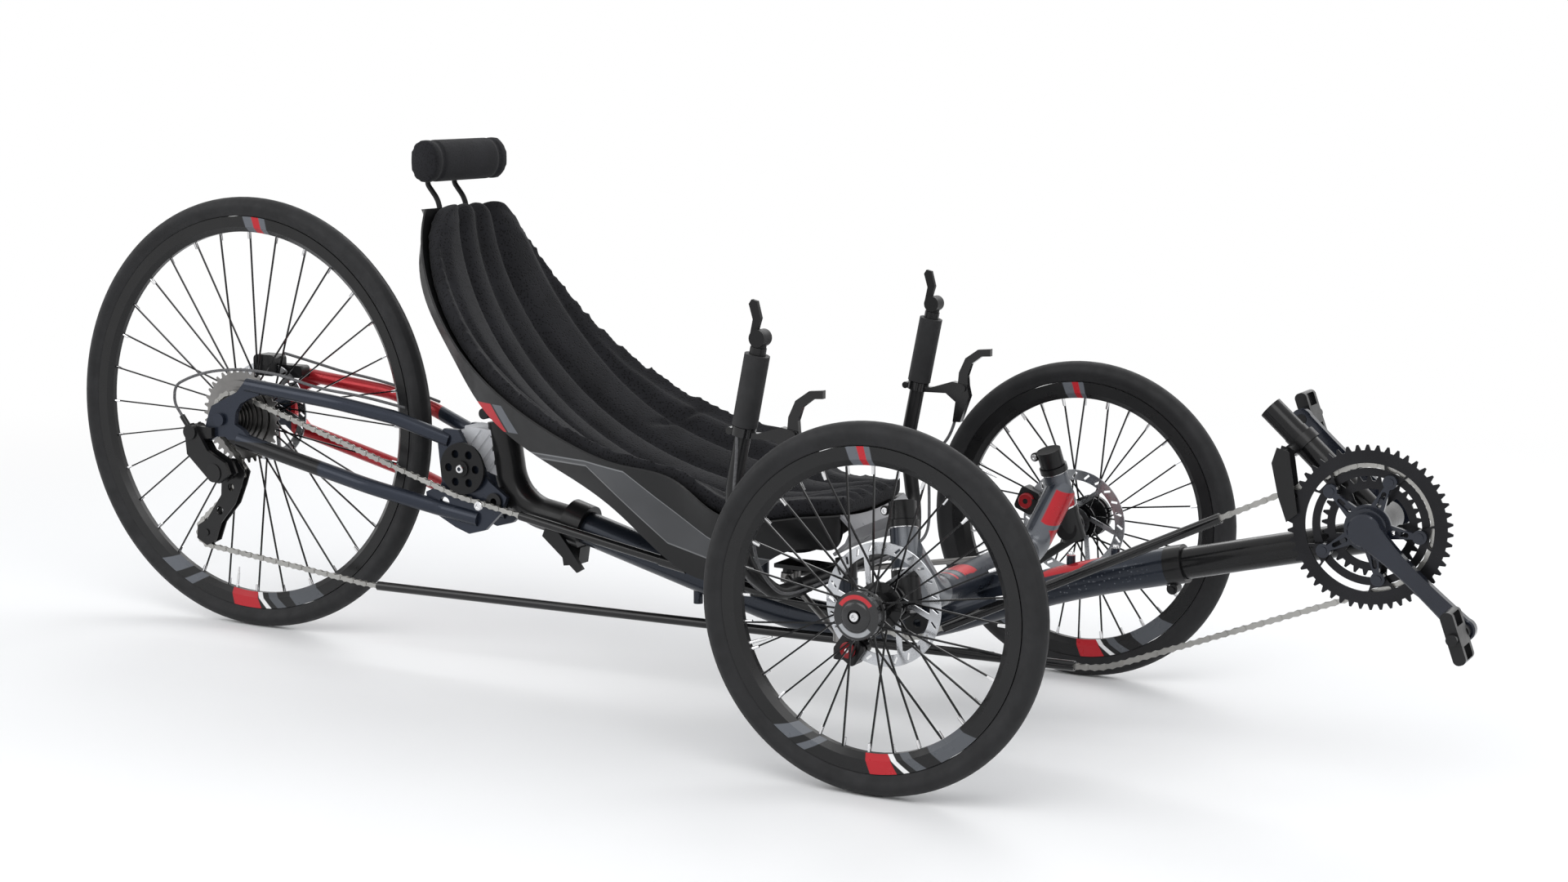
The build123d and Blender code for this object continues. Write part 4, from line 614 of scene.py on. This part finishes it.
# Spoke nipples
SPOKES = 32
NIPPLE = ((0, 0.0024), (0.002, 0.0024), (0.011, 0.0019))
for name, body, centre, radius in (
    ("nipples_right", "front_wheel_right", RIGHT_WHEEL, 0.1828),
    ("nipples_left", "front_wheel_left", LEFT_WHEEL, 0.1828),
    ("nipples_rear", "rear_wheel", REAR_WHEEL, 0.2908),
):
    bm = bmesh.new()
    for index in range(SPOKES):
        way = Vector((cos(2 * pi * index / SPOKES), 0, sin(2 * pi * index / SPOKES)))
        lathe(bm, centre + way * radius, -way, NIPPLE, 8, closed=False)
    finish_piece(bm, name, "silver", body)

# The chain as separate links along its route: (x, z, pitch radius, turn), in millimetres
ROUTE = (
    (541, 345, 78.9, 1), (-92, 170, 42, -1), (-839, 301, 44, -1), (-1280, 346, 38.6, 1),
    (-1283, 262, 22.5, -1), (-1334, 156, 22.5, 1), (-1005, 403, 300, 1), (160, 268, 150, 1),
)
PITCH = 12.7
CHAIN_Y = -48


def tangent(first, second):
    """The straight run from one guide to the next, as its two end points."""
    x1, z1, r1, turn1 = first
    x2, z2, r2, turn2 = second
    lean = math.asin((turn1 * r1 - turn2 * r2) / hypot(x2 - x1, z2 - z1))
    angle = atan2(z2 - z1, x2 - x1) + lean
    start = (x1 + turn1 * r1 * sin(angle), z1 - turn1 * r1 * cos(angle))
    return start, (x2 + turn2 * r2 * sin(angle), z2 - turn2 * r2 * cos(angle))


def chain_line():
    """Fine points along the whole route."""
    runs = [tangent(ROUTE[i], ROUTE[(i + 1) % len(ROUTE)]) for i in range(len(ROUTE))]
    points = []
    for index, (x, z, radius, turn) in enumerate(ROUTE):
        arrive, leave = runs[index - 1][1], runs[index][0]
        a0 = atan2(arrive[1] - z, arrive[0] - x)
        sweep = (atan2(leave[1] - z, leave[0] - x) - a0) * turn % (2 * pi)
        steps = max(2, int(sweep * radius / 3))
        points += [
            (x + radius * cos(a0 + turn * sweep * k / steps),
             z + radius * sin(a0 + turn * sweep * k / steps))
            for k in range(steps + 1)
        ]
    return points


def spaced(points, pitch):
    """Points a pitch apart along a closed line, the pitch stretched to fit."""
    loop = points + [points[0]]
    lengths = [hypot(b[0] - a[0], b[1] - a[1]) for a, b in zip(loop, loop[1:])]
    total = sum(lengths)
    count = 2 * round(total / pitch / 2)
    pitch = total / count
    found, travelled, index = [], 0.0, 0
    for step in range(count):
        goal = step * pitch
        while travelled + lengths[index] < goal:
            travelled += lengths[index]
            index += 1
        share = (goal - travelled) / lengths[index]
        a, b = loop[index], loop[index + 1]
        found.append((a[0] + (b[0] - a[0]) * share, a[1] + (b[1] - a[1]) * share))
    return found


def link_plate(bm, a, b, y, thickness, reach):
    """A waisted plate round two pins, standing at y."""
    along = Vector((b[0] - a[0], 0, b[1] - a[1]))
    length = along.length
    along.normalize()
    up = Vector((-along.z, 0, along.x))
    outline = []
    for turn in (90, 130, 180, 230, 270):
        outline.append((reach * cos(radians(turn)), reach * sin(radians(turn))))
    outline.append((length / 2, -reach * 0.68))
    for turn in (270, 310, 360, 410, 450):
        outline.append((length + reach * cos(radians(turn)), reach * sin(radians(turn))))
    outline.append((length / 2, reach * 0.68))
    faces = []
    for side in (y, y + thickness):
        faces.append([
            bm.verts.new(at(a[0] + along.x * u + up.x * v, side, a[1] + along.z * u + up.z * v))
            for u, v in outline
        ])
    low, high = faces
    bm.faces.new(low)
    bm.faces.new(reversed(high))
    for k in range(len(outline)):
        j = (k + 1) % len(outline)
        bm.faces.new((low[k], high[k], high[j], low[j]))


pins = spaced(chain_line(), PITCH)
bm = bmesh.new()
for index, here in enumerate(pins):
    after = pins[(index + 1) % len(pins)]
    outer = index % 2
    for side in (-1, 1):
        y = CHAIN_Y + side * (2.6 if outer else 1.6)
        link_plate(bm, here, after, y - 0.45, 0.9, 4.2 if outer else 4.0)
    place = at(here[0], CHAIN_Y, here[1])
    lathe(bm, place, (0, 1, 0), ((-0.0032, 0.0017), (0.0032, 0.0017)), 8, closed=False)
    lathe(bm, place, (0, 1, 0), ((-0.0013, 0.0033), (0.0013, 0.0033)), 10, closed=False)
links = finish_piece(bm, "chain_links", "chain", "frame", sharp=30)
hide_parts("chain")


# Padded cushions by cloth
CLOTH_FRAMES = 20


def local_copy(name, node):
    mesh = nodes[node].data.copy()
    obj = D.objects.new(name, mesh)
    bpy.context.collection.objects.link(obj)
    return obj


def settled(obj):
    """Applies an object's modifiers to its mesh."""
    bpy.context.view_layer.update()
    graph = bpy.context.evaluated_depsgraph_get()
    mesh = D.meshes.new_from_object(obj.evaluated_get(graph))
    obj.modifiers.clear()
    obj.data = mesh


def covered(obj, look):
    """Rounds a pad off and gives it its cloth."""
    smooth = obj.modifiers.new("smooth", "SUBSURF")
    smooth.levels = 1
    settled(obj)
    obj.data.materials.clear()
    obj.data.materials.append(M[look])
    obj.data.shade_smooth()


def plump(obj, voxel, cap, free):
    """Blows a pad up a little where free(point, normal) is over 0, by a cloth simulation."""
    remesh = obj.modifiers.new("remesh", "REMESH")
    remesh.mode = "VOXEL"
    remesh.voxel_size = voxel
    settled(obj)
    mesh = obj.data
    before = [v.co.copy() for v in mesh.vertices]
    loose = [free(v.co, v.normal) for v in mesh.vertices]
    held = obj.vertex_groups.new(name="held")
    for index, amount in enumerate(loose):
        if amount < 0.5:
            held.add([index], 1.0, "REPLACE")
    cloth = obj.modifiers.new("cloth", "CLOTH")
    cloth.settings.vertex_group_mass = "held"
    cloth.settings.use_pressure = True
    cloth.settings.uniform_pressure_force = 4
    cloth.settings.quality = 4
    cloth.settings.mass = 0.3
    cloth.settings.tension_stiffness = 12
    cloth.settings.compression_stiffness = 12
    cloth.settings.effector_weights.gravity = 0
    cloth.point_cache.frame_start = 1
    cloth.point_cache.frame_end = CLOTH_FRAMES
    for step in range(1, CLOTH_FRAMES + 1):
        bpy.context.scene.frame_set(step)
    settled(obj)
    bpy.context.scene.frame_set(1)
    for v, start, amount in zip(obj.data.vertices, before, loose):
        move = v.co - start
        if move.length > cap:
            move *= cap / move.length
        v.co = start + move * amount
    return loose


def smoothed(values):
    """Each value as the mean of itself and its neighbours."""
    near = [values[max(0, k - 1):k + 2] for k in range(len(values))]
    return [sum(group) / len(group) for group in near]


def seat_profile(mesh, step=0.012):
    """Places along x, with the pad's half width and middle height at each."""
    bins = {}
    for v in mesh.vertices:
        key = round(v.co.x / step)
        half, low, high = bins.get(key, (0, 9, -9))
        if abs(v.co.y) < 0.05:
            low, high = min(low, v.co.z), max(high, v.co.z)
        bins[key] = (max(half, abs(v.co.y)), low, high)
    keys = sorted(k for k, (half, low, high) in bins.items() if high > low)
    halves = [bins[k][0] for k in keys]
    middles = [(bins[k][1] + bins[k][2]) / 2 for k in keys]
    xs = [k * step for k in keys]
    for _ in range(3):
        halves, middles = smoothed(halves), smoothed(middles)
    return xs, halves, middles


def between(xs, values, x):
    if x <= xs[0]:
        return values[0]
    for k in range(len(xs) - 1):
        if x <= xs[k + 1]:
            share = (x - xs[k]) / (xs[k + 1] - xs[k])
            return values[k] + (values[k + 1] - values[k]) * share
    return values[-1]


pad = local_copy("seat_pad", "seat_cushion")
xs, halves, middles = seat_profile(pad.data)


def seat_out(x):
    """The way that faces the rider, at a place along the seat."""
    reach = 0.03
    rise = between(xs, middles, x + reach) - between(xs, middles, x - reach)
    return Vector((-rise, 0, 2 * reach)).normalized()


def seat_free(point, normal):
    edge = max(0.0, min(1.0, (between(xs, halves, point.x) - abs(point.y) - 0.008) / 0.03))
    return edge * max(0.0, min(1.0, normal.dot(seat_out(point.x)) * 1.6 - 0.1))


loose = plump(pad, 0.006, 0.004, seat_free)

# Sewn channels as (share of the half width at the top, at the hips, at the nose, depth)
CHANNELS = ((0.0, 0.0, 0.0, 0.006), (0.36, 0.34, 0.30, 0.009), (0.86, 0.70, 0.62, 0.009))
TOP_X, HIP_X, NOSE_X = at(-872, 0, 0).x, at(-560, 0, 0).x, at(-175, 0, 0).x


def channel_depth(point):
    """How deep the sewing pulls the cover in at a point, and the crown between the seams."""
    half = between(xs, halves, point.x)
    if point.x < HIP_X:
        share, first, second = (point.x - TOP_X) / (HIP_X - TOP_X), 0, 1
    else:
        share, first, second = (point.x - HIP_X) / (NOSE_X - HIP_X), 1, 2
    share = max(0, min(1, share))
    share = share * share * (3 - 2 * share)
    depth, nearest = 0, 1
    for channel in CHANNELS:
        line = (channel[first] * (1 - share) + channel[second] * share) * half
        gap = abs(abs(point.y) - line)
        depth = max(depth, channel[3] * math.exp(-((gap / 0.0075) ** 2)))
        nearest = min(nearest, gap)
    crown = 0.006 * math.sin(min(1, nearest / 0.034) * pi / 2)
    # The seam across the hips, where the back's side pads meet the pan's
    hip = abs(point.x - at(-640, 0, 0).x - abs(point.y) * 0.55)
    side = max(0, min(1, (abs(point.y) / half - 0.45) / 0.15))
    depth = max(depth, side * 0.008 * math.exp(-((hip / 0.0065) ** 2)))
    edge = max(0, min(1, (half - abs(point.y) - 0.006) / 0.022))
    return (crown - depth) * edge


for v, amount in zip(pad.data.vertices, loose):
    v.co += seat_out(v.co.x) * channel_depth(v.co) * amount
TOP_Z, ROUND = max(v.co.z for v in pad.data.vertices), 0.055
for v in pad.data.vertices:
    into = max(0.0, (v.co.z - TOP_Z + ROUND) / ROUND)
    v.co.y *= 1 - 0.34 * (1 - math.sqrt(max(0.0, 1 - into * into)))
covered(pad, "mesh")
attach(pad, "frame")
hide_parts("seat_cushion")

head = local_copy("head_pad", "headrest_pad")
low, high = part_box("headrest_pad")
heart = (Vector(low) + Vector(high)) / 2
for v in head.data.vertices:
    v.co = heart + (v.co - heart) * 0.95
plump(head, 0.004, 0.008, lambda point, normal: 1.0)
for v in head.data.vertices:
    seam = abs(abs(v.co.y - heart.y) - 0.072)
    v.co -= v.normal * 0.0035 * math.exp(-((seam / 0.003) ** 2))
covered(head, "pad")
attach(head, "frame")
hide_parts("headrest_pad")


# Hub caps: a black flange with a red and a grey crescent, and a bright bolt
def crescent_look(name, centre):
    look = Look(name, (0.012, 0.012, 0.013), 0.2, metal=0.3, coat=0.3)
    turn, radius = look.polar(centre)
    ring = look.slab(radius, 0.0215, 0.027)
    look.paint((0.45, 0.012, 0.02), look.both(ring, look.slab(turn, 35, 150, 1)))
    look.paint((0.30, 0.31, 0.32), look.both(ring, look.slab(turn, -150, -40, 1)))
    look.vary(0.1, 60)
    return look.emboss(look.noise(500, 3), 0.05, 0.0003).done()


for side, out, centre in (("right", -1, RIGHT_WHEEL), ("left", 1, LEFT_WHEEL)):
    body = "front_wheel_" + side
    low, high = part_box("front_hub_" + side)
    end = low[1] if out < 0 else high[1]
    face = Vector((centre.x, end, centre.z))
    way = Vector((0, out, 0))
    M["crescent_" + side] = crescent_look("crescent_" + side, centre)
    bm = bmesh.new()
    dish = (
        (-0.0100, 0.0310), (-0.0030, 0.0310), (-0.0018, 0.0300), (-0.0014, 0.0200),
        (0.0006, 0.0190), (0.0022, 0.0165), (0.0028, 0.0090), (-0.0100, 0.0088),
    )
    lathe(bm, face, way, dish, 48)
    finish_piece(bm, "hub_cap_" + side, "crescent_" + side, body)
    bm = bmesh.new()
    socket_bolt(bm, face - way * 0.002, way, 0.0066, 0.0062)
    finish_piece(bm, "hub_bolt_" + side, "silver", body)

# Knobs on both sides of the brake calipers: place, way out, height and radius in millimetres
KNOBS = (
    ("knob_right_out", "steered_right", (-44, -335, 176), -1, 3.0, 10.5),
    ("knob_right_in", "steered_right", (-44, -311, 176), 1, 7, 12),
    ("knob_left_out", "steered_left", (-70, 335, 267), 1, 3.0, 10.5),
    ("knob_left_in", "steered_left", (-70, 311, 267), -1, 7, 12),
)
for name, body, place, way, height, radius in KNOBS:
    bm = bmesh.new()
    high, wide = height / 1000, radius / 1000
    outline = (
        (0, wide), (high * 0.7, wide), (high, wide * 0.86), (high, wide * 0.34), (high * 0.6, wide * 0.3),
    )
    lathe(bm, at(*place), (0, way, 0), outline, 36, closed=False)
    finish_piece(bm, name, "red", body)
    bm = bmesh.new()
    socket_bolt(bm, at(*place) + Vector((0, way * high * 0.5, 0)), (0, way, 0), 0.0032, 0.003, 12)
    finish_piece(bm, name + "_bolt", "silver", body)

# Headset rings and the pinch bolts of the kingpins' caps
CASTER, KINGPIN_LEAN = radians(12), radians(16)
RING = ((0, 0.0182), (0, 0.0192), (0.0022, 0.0192), (0.0022, 0.0182))
for side, out in (("right", -1), ("left", 1)):
    up = Vector((-tan(CASTER), -out * tan(KINGPIN_LEAN), 1)).normalized()
    middle = at(0, out * 264, 299)
    for name, shift in (("low", -0.0285), ("high", 0.0262)):
        bm = bmesh.new()
        lathe(bm, middle + up * shift, up, RING, 40)
        finish_piece(bm, "headset_" + name + "_" + side, "silver", "frame")
    bm = bmesh.new()
    lug = middle + up * (0.027 + 0.022) + Vector((-0.021, 0, 0))
    for way in (-1, 1):
        socket_bolt(bm, lug + Vector((0, way * 0.009, 0)), (0, way, 0), 0.0045, 0.0035)
    finish_piece(bm, "pinch_bolts_" + side, "silver", "steered_" + side)

# Chainring bolts
BOLT_CIRCLE_R, FIRST_BOLT = 0.065, -40.6 + 36
rings_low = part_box("chainrings")[0]
axle = at(541, 0, 345)
bm = bmesh.new()
for index in range(5):
    angle = radians(FIRST_BOLT + 72 * index)
    across, up = BOLT_CIRCLE_R * cos(angle), BOLT_CIRCLE_R * sin(angle)
    place = Vector((axle.x + across, rings_low[1] + 0.0035, axle.z + up))
    socket_bolt(bm, place, (0, -1, 0), 0.0058, 0.0042)
finish_piece(bm, "chainring_bolts", "silver", "crank")

# Peg bolts on the main tube, and a bright bolt in each idler and the pivot, in millimetres
BOLTS = (
    ("peg_bolt_front", (187, 0, 274), (0, 0, 1), 4.5, 4),
    ("peg_bolt_back", (124, 0, 258), (0, 0, 1), 4.5, 4),
    ("idler_bolt_rear", (-839, -52.6, 301), (0, -1, 0), 6.5, 5),
    ("idler_bolt_front", (-92, -52.6, 170), (0, -1, 0), 5, 4),
    ("pivot_bolt", (-786, -82, 254), (0, -1, 0), 7, 4),
)
for name, place, way, radius, height in BOLTS:
    bm = bmesh.new()
    socket_bolt(bm, at(*place), way, radius / 1000, height / 1000)
    finish_piece(bm, name, "silver", "frame")

# Brake and shift cables clipped down along the handlebar
for side, out in (("right", -1), ("left", 1)):
    for name, shift, top, below_x in (
        ("brake", 15, (-172, 270, 384), -180),
        ("shift", -15, (-236, 282, 432), -236),
    ):
        route = [
            at(top[0], out * top[1], top[2]), at(below_x, out * top[1], top[2] - 30),
            at(-232 + shift, out * 276, 330), at(-228 + shift, out * 274, 262),
            at(-214 + shift, out * 244, 218), at(-213 + shift, out * 200, 205),
            at(-215 + shift, out * 120, 204), at(-215 + shift, out * 26, 204),
        ]
        pipe(name + "_cable_" + side, route, 0.0046, "braid", "steering_bar")
